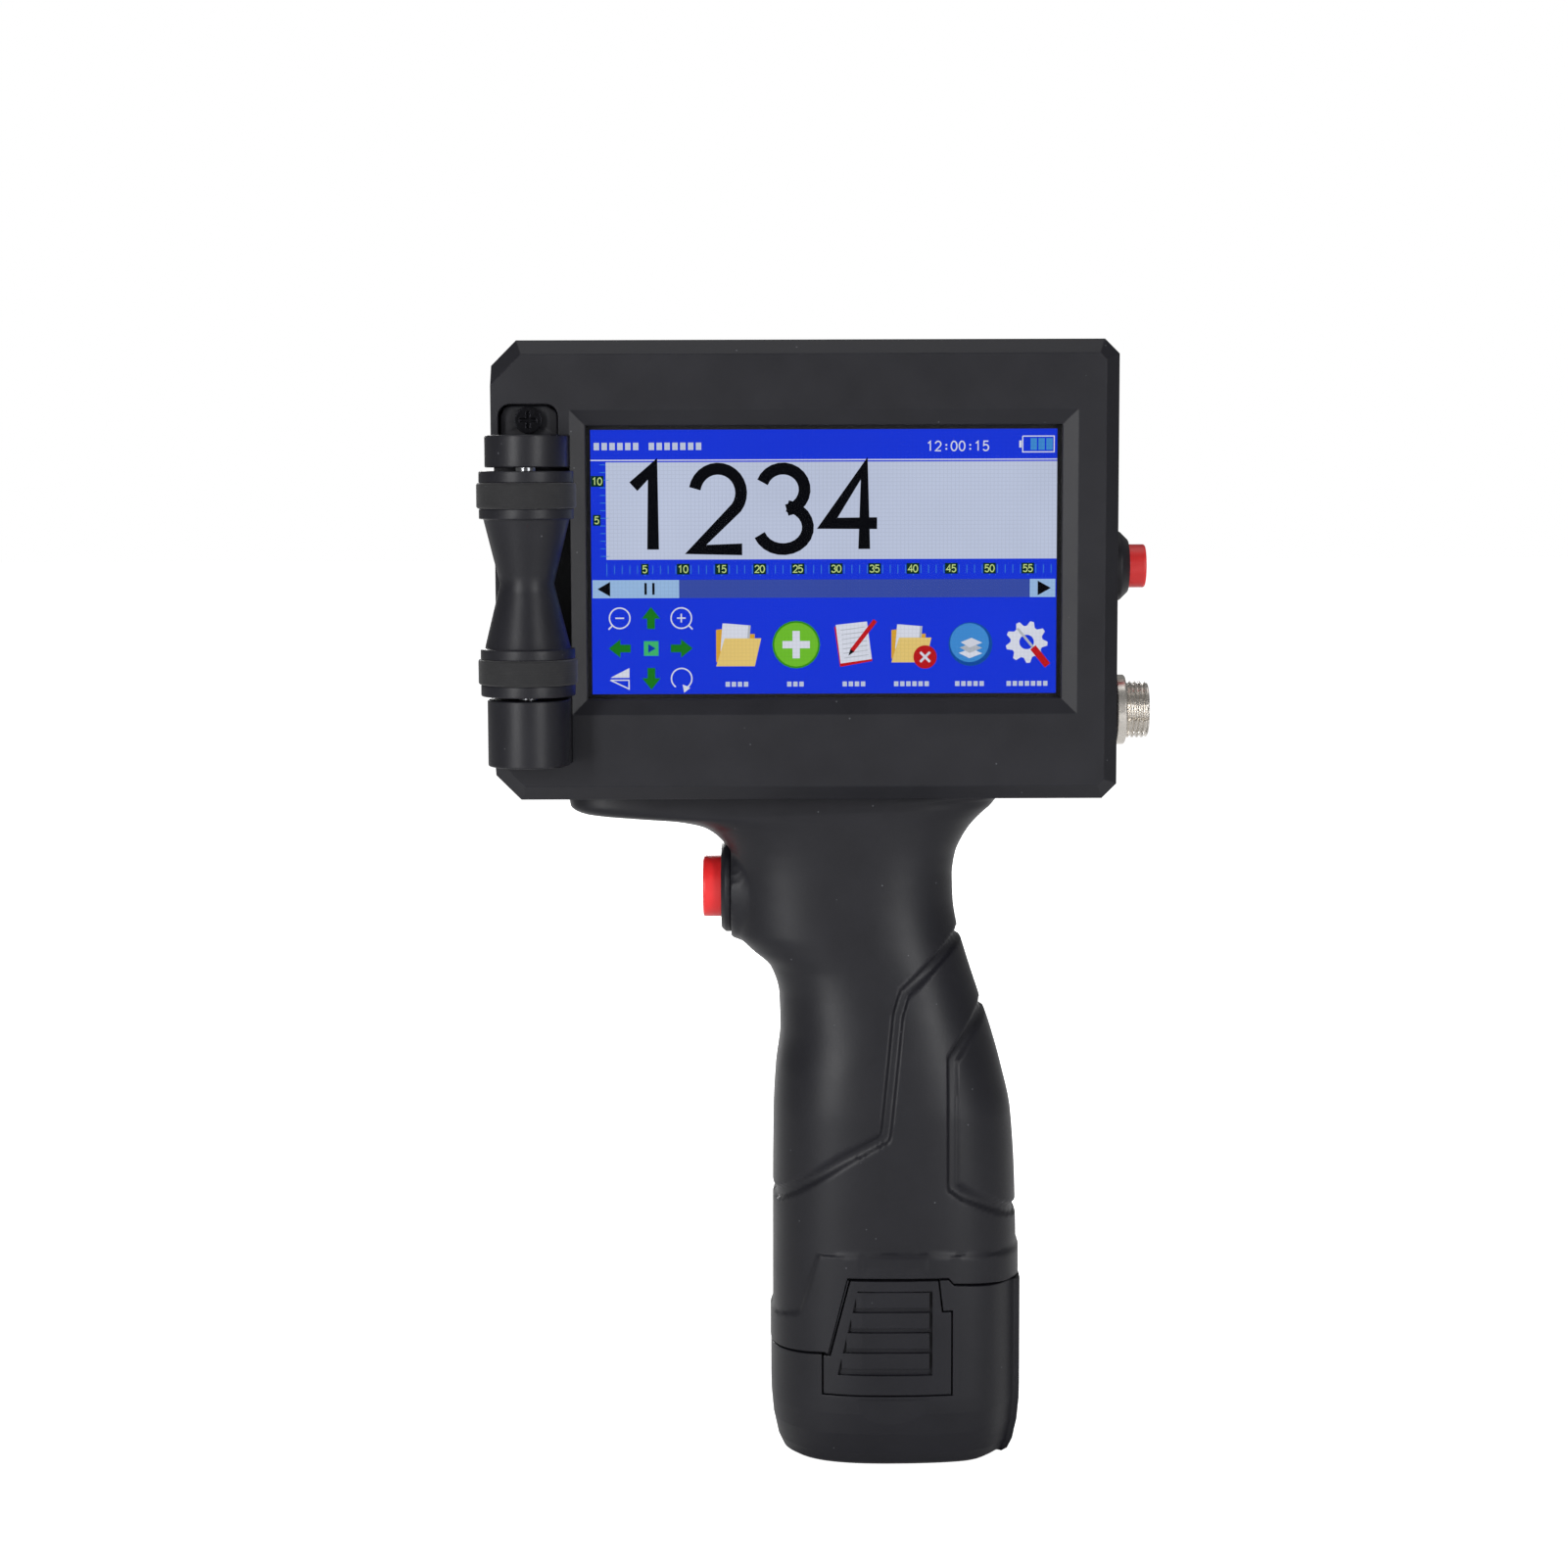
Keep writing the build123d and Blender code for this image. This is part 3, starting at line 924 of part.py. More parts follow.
def terminal_block():
    width, depth = TERMINAL_BLOCK
    low = STEM_TOP + 1.0
    body = block(-width / 2, width / 2, -depth / 2, depth / 2, low, SHELF_Z)
    clips = []
    for x in BLADE_SPOTS:
        half = BLADE_THICK / 2 + BLADE_CLEAR
        slot_top = STEM_TOP + BLADE_HEIGHT + 1
        wide, deep = half + CLIP_THICK, BLADE_WIDTH / 2 + 0.5
        body -= block(x - wide, x + wide, -deep, deep, low - 1, slot_top)
        for side in (-1, 1):
            inner, outer = x + side * half, x + side * wide
            clips.append(block(min(inner, outer), max(inner, outer), -BLADE_WIDTH / 2, BLADE_WIDTH / 2,
                               low + 0.5, slot_top))
    keep("battery_terminal_block", body)
    keep("battery_terminals", *clips)


def battery_latch(name, side):
    plate = column(FOOT_HALF_X, FOOT_HALF_Y, LATCH_OUTLINE[0][1] - 1, 60)
    plate -= column(FOOT_HALF_X - LATCH_SKIN, FOOT_HALF_Y - LATCH_SKIN, LATCH_OUTLINE[0][1] - 2, 61)
    panel_y = FOOT_HALF_Y - RIB_RECESS
    panel = prism_y(RIB_PANEL, -40, -10)
    panel -= column(FOOT_HALF_X - RIB_RECESS, FOOT_HALF_Y - RIB_RECESS, 0, 60)
    left_low, right_low = RIB_PANEL[0], RIB_PANEL[1]
    slant = (RIB_PANEL[3][0] - left_low[0]) / (RIB_PANEL[3][1] - left_low[1])
    for number in range(RIB_COUNT):
        z = left_low[1] + 1.4 + number * (RIB_HEIGHT + 1.0)
        start = left_low[0] + slant * (z - left_low[1]) + 0.5
        panel -= block(start, right_low[0] - 0.6, -panel_y - RIB_RECESS * 0.8, -10, z, z + RIB_HEIGHT)
    if side > 0:
        panel = mirror(panel, Plane.XZ)
    latch = (plate & latch_shadow(0, side)) - panel
    keep(name, one(latch))
    behind = FOOT_HALF_Y - LATCH_SKIN
    spring_z = LATCH_OUTLINE[2][1] - 3
    y0, y1 = behind - LATCH_TRAVEL, behind - 0.15
    spring = rod_y(-2, spring_z, 2.6, y0, y1) - rod_y(-2, spring_z, 2.0, y0 - 1, y1 + 1)
    if side < 0:
        spring = mirror(spring, Plane.XZ)
    spring -= column(FOOT_HALF_X - LATCH_SKIN - LATCH_TRAVEL, FOOT_HALF_Y - LATCH_SKIN - LATCH_TRAVEL, 10, 60)
    keep(name.replace("latch", "latch_spring"), one(spring))


# ======== wires inside the neck
def wires():
    solids = []
    for offset_x in (-2.0, 2.0):
        start = (SHELF_HOLE_X + offset_x, 0, SHELF_Z)
        points = [start, (start[0], 0, SHELF_Z + 18), (CABLE_X + offset_x, CABLE_Y, HEAD_BOTTOM - 22),
                  (CABLE_X + offset_x, CABLE_Y, HEAD_BOTTOM + 20)]
        path = FilletPolyline(*points, radius=12)
        section = Plane(origin=points[0], z_dir=(0, 0, 1)) * Circle(0.8)
        solids.append(sweep(section, path=path))
    keep("battery_leads", *solids)


front_shell()
rear_shell()
head_fasteners()
screen()
boards()
roller()
roller_holders()
cartridge()
cartridge_bay()
cartridge_latch()
push_button("trigger", TRIGGER, Pos(TRIGGER_FACE, 0, TRIGGER_Z))
push_button("power", POWER, Pos(HEAD_RIGHT, POWER_Y, POWER_Z) * Rot(0, 0, 180))
sockets()
grip_half("grip_shell_front", -1)
grip_half("grip_shell_rear", 1)
grip_screws()
battery_case()
battery_inside()
terminal_block()
battery_latch("battery_latch_front", -1)
battery_latch("battery_latch_rear", 1)
wires()

os.makedirs("parts", exist_ok=True)
for node_name, shape in NODES.items():
    export_step(shape, f"parts/{node_name}.step")
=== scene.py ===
# %% [markdown]
# # A handheld inkjet coder, dressed around its CAD frame
# The machine is a pistol-grip printer: a flat black head with a lit screen, a guide roller that
# runs along the carton, a red trigger, and a battery that clips up into the grip. The working
# parts come from a CAD model. This file gives them their finishes and rebuilds the pieces whose
# look depends on flowing surfaces or fine detail.

# %% Load the frame
from math import cos, pi, radians, sin, tau

import bpy
import numpy as np
from mathutils import Matrix, Vector


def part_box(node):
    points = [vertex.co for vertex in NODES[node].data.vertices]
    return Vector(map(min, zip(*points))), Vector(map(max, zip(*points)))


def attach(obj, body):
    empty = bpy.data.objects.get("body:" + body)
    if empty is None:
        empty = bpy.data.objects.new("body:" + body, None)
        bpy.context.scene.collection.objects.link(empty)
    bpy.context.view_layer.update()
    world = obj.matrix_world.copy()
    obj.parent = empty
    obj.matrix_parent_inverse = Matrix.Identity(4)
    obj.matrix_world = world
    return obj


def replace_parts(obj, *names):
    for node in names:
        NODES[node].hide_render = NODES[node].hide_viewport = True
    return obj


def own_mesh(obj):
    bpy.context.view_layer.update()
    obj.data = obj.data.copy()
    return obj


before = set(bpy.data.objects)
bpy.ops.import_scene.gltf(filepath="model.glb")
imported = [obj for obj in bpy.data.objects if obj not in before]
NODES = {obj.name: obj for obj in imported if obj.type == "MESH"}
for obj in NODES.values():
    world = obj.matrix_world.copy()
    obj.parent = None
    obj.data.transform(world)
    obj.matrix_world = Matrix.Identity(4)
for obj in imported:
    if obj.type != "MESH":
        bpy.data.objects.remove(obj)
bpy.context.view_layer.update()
MM = 0.001


def middle(node):
    """The centre of a CAD node's box."""
    low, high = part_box(node)
    return (low + high) / 2


# %% [markdown]
# ## The camera
# The object is seen from the operator's side, a little from above and from well back, so its
# sides hardly converge. A long lens far away does that. A short lens close by would fill the
# frame too, but it would swell the head and shrink the foot.

# %% The camera
LENS = 69.73
SENSOR = 36.0
CAMERA_PLACE = Vector((-23.6, -648.0, 212.5)) * MM
CAMERA_TILT = 83.97
CAMERA_ROLL = -0.178

camera = bpy.data.objects.new("camera", bpy.data.cameras.new("camera"))
bpy.context.collection.objects.link(camera)
camera.data.lens = LENS
camera.data.sensor_width = SENSOR
aim = Matrix.Rotation(radians(CAMERA_TILT), 4, "X") @ Matrix.Rotation(radians(CAMERA_ROLL), 4, "Z")
camera.matrix_world = Matrix.Translation(CAMERA_PLACE) @ aim
bpy.context.scene.camera = camera
bpy.context.scene.view_settings.view_transform = "Standard"
print("camera at", [round(value, 3) for value in camera.location])

# %% [markdown]
# ## Writing shaders as sums
# A finish is a web of shader nodes. Built by hand, node by node and link by link, even a small
# sum takes five lines. Here one small class wraps a socket and turns Python's operators into Math
# nodes, so that a mask reads as 1 - grain * 0.4, and one method makes every other kind of node.

# %% Signals
def srgb(red, green, blue):
    """A colour as it is seen on a screen, 0 to 255, in the linear values that shaders use."""
    linear = [((c / 255 + 0.055) / 1.055) ** 2.4 if c > 10 else c / 255 / 12.92 for c in (red, green, blue)]
    return (*linear, 1.0)


class Signal:
    """A node's output, with operators for the numbers that it carries."""

    def __init__(self, maker, socket):
        self.maker = maker
        self.socket = socket

    def sum(self, operation, first, second):
        return self.maker.node("Math", {"operation": operation}, {0: first, 1: second})

    def __add__(self, other):
        return self.sum("ADD", self, other)

    def __sub__(self, other):
        return self.sum("SUBTRACT", self, other)

    def __rsub__(self, other):
        return self.sum("SUBTRACT", other, self)

    def __mul__(self, other):
        return self.sum("MULTIPLY", self, other)

    def __gt__(self, other):
        return self.sum("GREATER_THAN", self, other)

    def __lt__(self, other):
        return self.sum("LESS_THAN", self, other)

    __radd__ = __add__
    __rmul__ = __mul__


print("signals know +, -, *, > and <")

# %% [markdown]
# ## One way to make a node
# Nodes could be made and linked one by one, but then the links bury the idea. The class here holds
# a tree, and its one method makes any kind of node, sets it up before its sockets are filled, and
# hands back an output. A finish is such a tree round a Principled shader. Its edges are rounded by
# a Bevel node, which bends the light and not the mesh, so that thin ribs keep their shape.

# %% Node trees and finishes
SHADED_RADIUS = 0.35
BEVEL_SAMPLES = 4
WORN_AND_HIGHLIT_GAIN = 2.2


class NodeTree:
    """A tree of shader nodes that are made and joined by one method."""

    def __init__(self, tree):
        self.tree = tree

    def plug(self, socket, value):
        if isinstance(value, Signal):
            self.tree.links.new(value.socket, socket)
        else:
            socket.default_value = value

    def node(self, kind, settings=None, sockets=None, output=0):
        made = self.tree.nodes.new("ShaderNode" + kind)
        for name, value in (settings or {}).items():
            setattr(made, name, value)
        for name, value in (sockets or {}).items():
            self.plug(made.inputs[name], value)
        return Signal(self, made.outputs[output])


class Finish(NodeTree):
    """One material, with its Principled shader."""

    def __init__(self, name, constants):
        self.material = bpy.data.materials.new(name)
        self.material.use_nodes = True
        super().__init__(self.material.node_tree)
        self.shader = self.tree.nodes["Principled BSDF"]
        self.set(constants)

    def set(self, values):
        for name, value in values.items():
            self.plug(self.shader.inputs[name], value)

    def place(self):
        """Where a point of the surface is on the object, in metres."""
        return self.node("TexCoord", output="Object")

    def noise(self, size, detail=2.0):
        """Cloudy noise whose blotches are about size millimetres across."""
        sockets = {"Vector": self.place(), "Scale": 1 / (size * MM), "Detail": detail}
        return self.node("TexNoise", sockets=sockets)

    def mix(self, share, first, second):
        """A colour between two others; Math nodes would turn a colour grey."""
        return self.node("Mix", {"data_type": "RGBA"}, {0: share, 6: first, 7: second}, 2)

    def relief(self, height, depth):
        """A normal that makes the height signal stand out by depth millimetres."""
        sockets = {"Height": height, "Distance": depth * MM, "Strength": 1.0,
                   "Normal": self.rounded(SHADED_RADIUS)}
        return self.node("Bump", sockets=sockets)

    def rounded(self, radius):
        """The normal of a surface whose edges are rounded off, with the mesh left as it is."""
        return self.node("Bevel", {"samples": BEVEL_SAMPLES}, {"Radius": radius * MM})

    # Where a finish mixes this edge mask into its colour, it paints the edges paler: partly wear, partly a
    # painted highlight.
    def rubbed_edge(self, radius):
        """1 on edges, where a rounded normal leaves the true one, and 0 on the flats."""
        true = self.node("NewGeometry", output="Normal")
        normals = {0: self.rounded(radius), 1: true}
        alike = self.node("VectorMath", {"operation": "DOT_PRODUCT"}, normals, "Value")
        return self.node("Math", {"operation": "MULTIPLY", "use_clamp": True}, {0: 1 - alike, 1: WORN_AND_HIGHLIT_GAIN})


print("edges are shaded with a radius of", SHADED_RADIUS, "mm")

# %% [markdown]
# ## Moulded black plastic
# Most of the machine is black ABS from a spark-eroded mould. Its skin has a grain of a few tenths
# of a millimetre that blurs every highlight, slow clouds where the plastic cooled unevenly, edges
# that hands have polished, and a few specks of dust. One noise gives the grain as a bump, a slow
# one shifts colour and gloss, a Voronoi pattern scatters the specks, and a bevel trick finds edges.
# Those edges are glossier from wear and paler in colour, which is partly wear and partly a painted
# highlight.

# %% Black plastics
DUST_SPACING = 5.0
DUST_SIZE = 0.034
DUST = srgb(120, 122, 128)


def moulded(name, colour, worn_and_highlit, roughness, grain_size=0.4, grain_depth=0.012, dust=True):
    """Injection-moulded plastic with a fine eroded grain."""
    finish = Finish(name, {"Specular IOR Level": 0.3})
    grain = finish.noise(grain_size, 3.0)
    cloud = finish.noise(9.0)
    edge = finish.rubbed_edge(0.5)
    # The clouds shift the tone at random, and the edge mask paints the edges paler, as wear and as a painted
    # highlight.
    tone = finish.mix(cloud * 0.35 + edge * 0.3, colour, worn_and_highlit)
    if dust:
        sockets = {"Vector": finish.place(), "Scale": 1 / (DUST_SPACING * MM)}
        speck = finish.node("TexVoronoi", sockets=sockets, output="Distance") < DUST_SIZE
        tone = finish.mix(speck * 0.35, tone, DUST)
    sheen = grain * 0.12 + cloud * 0.1 - edge * 0.12 + (roughness - 0.11)
    finish.set({"Base Color": tone, "Roughness": sheen, "Normal": finish.relief(grain, grain_depth)})
    return finish.material


def black_abs():
    return moulded("black_abs", srgb(22, 22, 27), srgb(40, 40, 47), 0.42)


def cartridge_plastic():
    return moulded("cartridge_plastic", srgb(30, 31, 34), srgb(60, 61, 66), 0.36, 0.6, 0.006)


def grey_lever():
    return moulded("grey_lever", srgb(92, 95, 100), srgb(128, 131, 136), 0.42, 0.5, 0.01)


def dark_component():
    return moulded("dark_component", srgb(26, 26, 28), srgb(58, 58, 60), 0.55, 0.25, 0.01, False)


print("black plastics are ready to use")

# %% [markdown]
# ## Tyres and red caps
# The tyres are soft nitrile rubber: darker and duller than the plastic, with fine lines round them
# from the mould and chalky scuffs where they roll. The caps are satin red plastic. Red pigment
# lets a little light in, so a trace of subsurface scattering keeps the caps from looking painted.

# %% Rubber and red plastic
def tyre_rubber():
    finish = Finish("tyre_rubber", {"Specular IOR Level": 0.3, "Sheen Weight": 0.15})
    sockets = {"Vector": finish.place(), "Scale": 1 / (1.6 * MM), "Distortion": 0.6}
    lines = finish.node("TexWave", {"bands_direction": "Z"}, sockets, "Fac")
    scuff = finish.noise(2.4, 4.0)
    grain = finish.noise(0.3)
    tone = finish.mix(scuff * scuff * 0.5, srgb(26, 26, 28), srgb(56, 56, 57))
    height = grain * 0.7 + lines * 0.3
    finish.set({"Base Color": tone, "Roughness": scuff * 0.2 + 0.62, "Normal": finish.relief(height, 0.03)})
    return finish.material


def red_plastic():
    constants = {"Subsurface Weight": 0.12, "Subsurface Scale": 0.6 * MM, "Coat Weight": 0.1,
                 "Coat Roughness": 0.22}
    finish = Finish("red_plastic", constants)
    cloud = finish.noise(4.0)
    grain = finish.noise(0.5, 3.0)
    edge = finish.rubbed_edge(0.4)
    # The edge mask paints the caps' edges paler, as wear and as a painted highlight.
    tone = finish.mix(cloud * 0.4 + edge * 0.3, srgb(232, 32, 38), srgb(242, 66, 62))
    finish.set({"Base Color": tone, "Roughness": grain * 0.14 + 0.3, "Normal": finish.relief(grain, 0.006)})
    return finish.material


print("rubber and red plastic are ready to use")

# %% [markdown]
# ## Metals
# Metal is told apart by the colour of its reflections and by how they are smeared. Turned parts
# have fine rings, stamped ones have random scratches, and plating softens both. The metals share
# one function: its stretch squeezes the noise along an axis, which turns grain into brushing.

# %% Metals
def metal(name, colour, tarnish, roughness, stretch=(1, 1, 1), scratch=0.006):
    finish = Finish(name, {"Metallic": 1.0})
    squeezed = finish.node("Mapping", sockets={"Vector": finish.place(), "Scale": stretch}, output="Vector")
    sockets = {"Vector": squeezed, "Scale": 1 / (0.5 * MM), "Detail": 3.0}
    brushing = finish.node("TexNoise", sockets=sockets)
    cloud = finish.noise(3.0)
    tone = finish.mix(cloud * 0.6, colour, tarnish)
    sheen = brushing * 0.16 + cloud * 0.1 + (roughness - 0.13)
    finish.set({"Base Color": tone, "Roughness": sheen, "Normal": finish.relief(brushing, scratch)})
    return finish.material


def nickel():
    return metal("nickel", srgb(240, 235, 228), srgb(214, 207, 197), 0.27, (0.3, 1, 1))


def bright_steel():
    return metal("bright_steel", srgb(200, 202, 206), srgb(160, 163, 168), 0.3, (1, 1, 4))


def gold_contact():
    return metal("gold_contact", srgb(232, 190, 98), srgb(205, 158, 72), 0.26)


def bearing_bronze():
    return metal("bearing_bronze", srgb(176, 126, 74), srgb(118, 80, 48), 0.45, scratch=0.02)


def black_screw():
    return metal("black_screw", srgb(44, 44, 48), srgb(24, 24, 27), 0.24, scratch=0.01)


print("metals are ready to use")

# %% [markdown]
# ## Small electrical finishes
# Boards are green solder mask over copper, which shows as a faint lighter maze. The cells wear a
# shrunk blue sleeve, the leads a soft red jacket, and the ink sits in a dark open foam. They are
# mostly inside, but a cover that slides away at a pose lets them be seen.

# %% Boards, sleeves and foam
def circuit_board():
    finish = Finish("circuit_board", {"Coat Weight": 0.3, "Coat Roughness": 0.25})
    sockets = {"Vector": finish.place(), "Scale": 1 / (1.4 * MM), "Randomness": 0.0}
    track = finish.node("TexVoronoi", {"feature": "DISTANCE_TO_EDGE"}, sockets, "Distance") < 0.12
    layout = finish.noise(5.0) > 0.5
    tone = finish.mix(track * layout, srgb(14, 70, 42), srgb(44, 116, 70))
    height = track * layout
    finish.set({"Base Color": tone, "Roughness": finish.noise(1.0) * 0.2 + 0.3,
                "Normal": finish.relief(height, 0.02)})
    return finish.material


def sleeve(name, colour, pale, roughness):
    """Soft vinyl over a wire or a cell, wrinkled a little where it shrank."""
    finish = Finish(name, {"Specular IOR Level": 0.5})
    wrinkle = finish.noise(2.2, 4.0)
    tone = finish.mix(wrinkle * 0.5, colour, pale)
    finish.set({"Base Color": tone, "Roughness": wrinkle * 0.2 + roughness,
                "Normal": finish.relief(wrinkle, 0.05)})
    return finish.material


def cell_wrap():
    return sleeve("cell_wrap", srgb(24, 92, 150), srgb(52, 124, 178), 0.28)


def red_wire():
    return sleeve("red_wire", srgb(170, 26, 28), srgb(196, 54, 50), 0.38)


def sponge():
    finish = Finish("sponge", {"Roughness": 0.95})
    sockets = {"Vector": finish.place(), "Scale": 1 / (0.9 * MM)}
    cell = finish.node("TexVoronoi", sockets=sockets, output="Distance")
    tone = finish.mix(cell, srgb(12, 12, 14), srgb(44, 44, 48))
    finish.set({"Base Color": tone, "Normal": finish.relief(cell, 0.4)})
    return finish.material


print("electrical finishes are ready to use")

# %% [markdown]
# ## The screen's glass and its lit picture
# The touch panel is clear, so all that shows of it is a weak reflection over the picture behind.
# A clear surface can be refracting glass, which is slow and noisy, or a dark coat that is mostly
# transparent. The second is used: its low alpha keeps the gloss and lets the picture through. The
# picture is made of flat tiles that carry their own colour, and the dark gaps between the
# display's dots lie over it as a fine grid.

# %% Screen finishes
DOT_PITCH = 0.198
DOTS_PER_CELL = 4
GAP_SHARE = 0.08
UNLIT = (0, 0, 0, 1)
PICTURE_COLOUR = "tint"


def screen_glass():
    finish = Finish("screen_glass", {"Base Color": srgb(16, 17, 20), "IOR": 1.5})
    smear = finish.noise(14.0, 3.0)
    finish.set({"Alpha": smear * 0.03 + 0.07, "Roughness": smear * 0.08 + 0.05})
    finish.material.surface_render_method = "BLENDED"
    return finish.material


def screen_module():
    return moulded("screen_module", srgb(12, 12, 14), srgb(22, 22, 25), 0.5, 0.3, 0.005, False)


def lit_picture():
    constants = {"Base Color": UNLIT, "Roughness": 0.6, "Specular IOR Level": 0.0, "Emission Strength": 1.0}
    finish = Finish("lit_picture", constants)
    tint = finish.node("Attribute", {"attribute_name": PICTURE_COLOUR}, output="Color")
    sockets = {"Vector": finish.place(), "Scale": 1 / (DOT_PITCH * DOTS_PER_CELL * MM), "Randomness": 0.0}
    gap = finish.node("TexVoronoi", {"feature": "DISTANCE_TO_EDGE"}, sockets, "Distance") < GAP_SHARE
    glow = finish.noise(22.0)
    shade = gap * 0.1 + glow * 0.12
    finish.set({"Emission Color": finish.mix(shade, tint, UNLIT)})
    return finish.material


print("screen finishes are ready to use")

# %% [markdown]
# ## Dressing the CAD pieces
# A CAD piece arrives as flat triangles with edges like razors, and real edges are never sharp: a
# moulding has a radius of a few tenths of a millimetre that catches the light. Modifiers can add
# it without touching the mesh: Weld joins the triangles, Bevel rounds the sharp edges and Weighted
# Normal keeps the big faces flat. That suits simple blocks and turned parts, but it chips thin ribs
# and screw crosses, so it is kept for the pieces listed here. The others only get their sharp edges
# marked, and the Bevel node in their finish rounds them. The head's rim is a slope so shallow that
# its shells need a smaller angle.

# %% Edge rounding and finishes for CAD nodes
MAKERS = (black_abs, cartridge_plastic, grey_lever, dark_component, tyre_rubber, red_plastic, nickel,
          bright_steel, gold_contact, bearing_bronze, black_screw, circuit_board, cell_wrap, red_wire,
          sponge, screen_glass, screen_module)
FINISHES = {maker.__name__: maker() for maker in MAKERS}
SHARP = 32.0
WELD_GAP = 0.002
SHALLOW_BEVEL = {"front_shell": 18.0, "rear_shell": 18.0}
ROUND_EDGE = {"roller_core": 0.2, "roller_top_bracket": 0.3, "roller_lower_housing": 0.3,
              "trigger_bezel": 0.2, "power_bezel": 0.2, "ink_cartridge_body": 0.3, "cartridge_lid": 0.3,
              "cartridge_latch": 0.25, "battery_terminal_block": 0.3, "sensor_socket_gasket": 0.2}


def round_edges(piece, width):
    weld = piece.modifiers.new("weld", "WELD")
    weld.merge_threshold = WELD_GAP * MM
    rim = piece.modifiers.new("rim", "BEVEL")
    rim.width = width * MM
    rim.segments = 2
    rim.limit_method = "ANGLE"
    rim.angle_limit = radians(SHARP)
    rim.use_clamp_overlap = False
    piece.modifiers.new("shading", "WEIGHTED_NORMAL")


def dress(name):
    node = NODES[name]
    slot = node.material_slots[0].material.name.split(".")[0]
    for each in node.material_slots:
        each.material = FINISHES[slot]
    node.data.polygons.foreach_set("use_smooth", [True] * len(node.data.polygons))
    if name in ROUND_EDGE:
        round_edges(node, ROUND_EDGE[name])
    else:
        node.data.set_sharp_from_angle(angle=radians(SHALLOW_BEVEL.get(name, SHARP)))
    return slot


worn_slots = sorted({dress(name) for name in NODES})
print(len(NODES), "CAD nodes dressed in", worn_slots)

# %% [markdown]
# ## Meshes from rows of points
# The pieces that are rebuilt start as numpy grids: rows of points that wrap round a form. One
# helper turns the points and faces into an object, names its slot, and lets it ride on a body.

# %% Making a piece
def piece(name, points, faces, slot, body, finish=None):
    """A mesh object from points in metres and lists of corner numbers."""
    mesh = bpy.data.meshes.new(name)
    mesh.from_pydata([tuple(point) for point in points], [], faces)
    mesh.validate()
    made = bpy.data.objects.new(name, mesh)
    bpy.context.collection.objects.link(made)
    mesh.materials.append(finish or FINISHES[slot])
    smooth(mesh)
    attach(made, body)
    return made


def smooth(mesh):
    mesh.polygons.foreach_set("use_smooth", [True] * len(mesh.polygons))
    mesh.set_sharp_from_angle(angle=radians(SHARP))


def grid_faces(rows, columns, start=0, flip=False):
    """Quads between neighbouring rows of a grid whose points are numbered row by row."""
    faces = []
    for row in range(rows - 1):
        for column in range(columns - 1):
            a = start + row * columns + column
            quad = (a, a + 1, a + columns + 1, a + columns)
            faces.append(quad[::-1] if flip else quad)
    return faces


def carve(target, points, faces):
    """Cuts a closed mesh out of an object and keeps the result as its mesh."""
    mesh = bpy.data.meshes.new("cutter")
    mesh.from_pydata([tuple(point) for point in points], [], faces)
    cutter = bpy.data.objects.new("cutter", mesh)
    bpy.context.collection.objects.link(cutter)
    cut = target.modifiers.new("cut", "BOOLEAN")
    cut.operation = "DIFFERENCE"
    cut.solver = "EXACT"
    cut.object = cutter
    graph = bpy.context.evaluated_depsgraph_get()
    result = bpy.data.meshes.new_from_object(target.evaluated_get(graph))
    target.modifiers.remove(cut)
    target.data = result
    bpy.data.objects.remove(cutter)
    smooth(result)


def prism_faces(count):
    """Both ends and the sides of a prism, whose outline of count points is given twice."""
    sides = [(n, (n + 1) % count, count + (n + 1) % count, count + n) for n in range(count)]
    return [tuple(range(count))[::-1], tuple(range(count, 2 * count)), *sides]


def prism(outline, near, far):
    """A closed prism along y from an outline in x and z, all in millimetres."""
    points = [Vector((x, y, z)) * MM for y in (near, far) for x, z in outline]
    return points, prism_faces(len(outline))


print("mesh helpers are ready")

# %% [markdown]
# ## The grip as one flowing skin
# The grip swells at the palm, pinches under the head and sweeps out into a flange over the
# trigger. It could be sculpted, or lofted from level slices. Level slices fail under the flange,
# where the surface runs almost flat, so here each slice is tilted: it joins one point of the left
# outline to one of the right, and the slices fan out as they climb. Between them every size
# follows a monotone curve, which never overshoots.

# %% Slices of the grip
# left x and z, right x and z, half depth, squareness of the slice
SLICES = np.array([
    (-26.4, 22.0, 26.4, 22.0, 21.5, 2.8),
    (-26.35, 42.0, 26.35, 42.0, 21.5, 2.8),
    (-26.3, 58.5, 26.0, 58.5, 21.5, 2.8),
    (-26.1, 74.0, 25.0, 74.0, 21.4, 2.8),
    (-25.6, 83.0, 23.1, 83.0, 20.8, 2.7),
    (-24.6, 92.0, 20.6, 92.0, 19.6, 2.6),
    (-24.8, 99.0, 18.2, 99.0, 18.6, 2.6),
    (-26.6, 105.0, 16.2, 105.0, 17.9, 2.6),
    (-31.4, 109.5, 14.8, 109.5, 17.6, 2.6),
    (-34.4, 113.0, 13.6, 113.5, 17.5, 2.6),
    (-34.9, 120.0, 12.6, 119.5, 17.4, 2.6),
    (-35.0, 126.0, 12.4, 125.0, 17.4, 2.7),
    (-35.7, 130.0, 13.0, 129.5, 17.5, 2.8),
    (-37.8, 133.3, 14.4, 133.0, 17.6, 3.0),
    (-42.0, 135.9, 16.6, 136.4, 17.7, 3.3),
    (-49.0, 137.3, 18.8, 138.8, 17.8, 3.8),
    (-58.0, 138.0, 20.4, 140.4, 17.8, 4.4),
    (-65.8, 138.8, 21.4, 141.8, 17.7, 5.0),
    (-68.9, 140.6, 22.0, 142.8, 17.6, 6.0),
    (-69.3, 143.8, 22.4, 143.8, 17.4, 6.0),
])


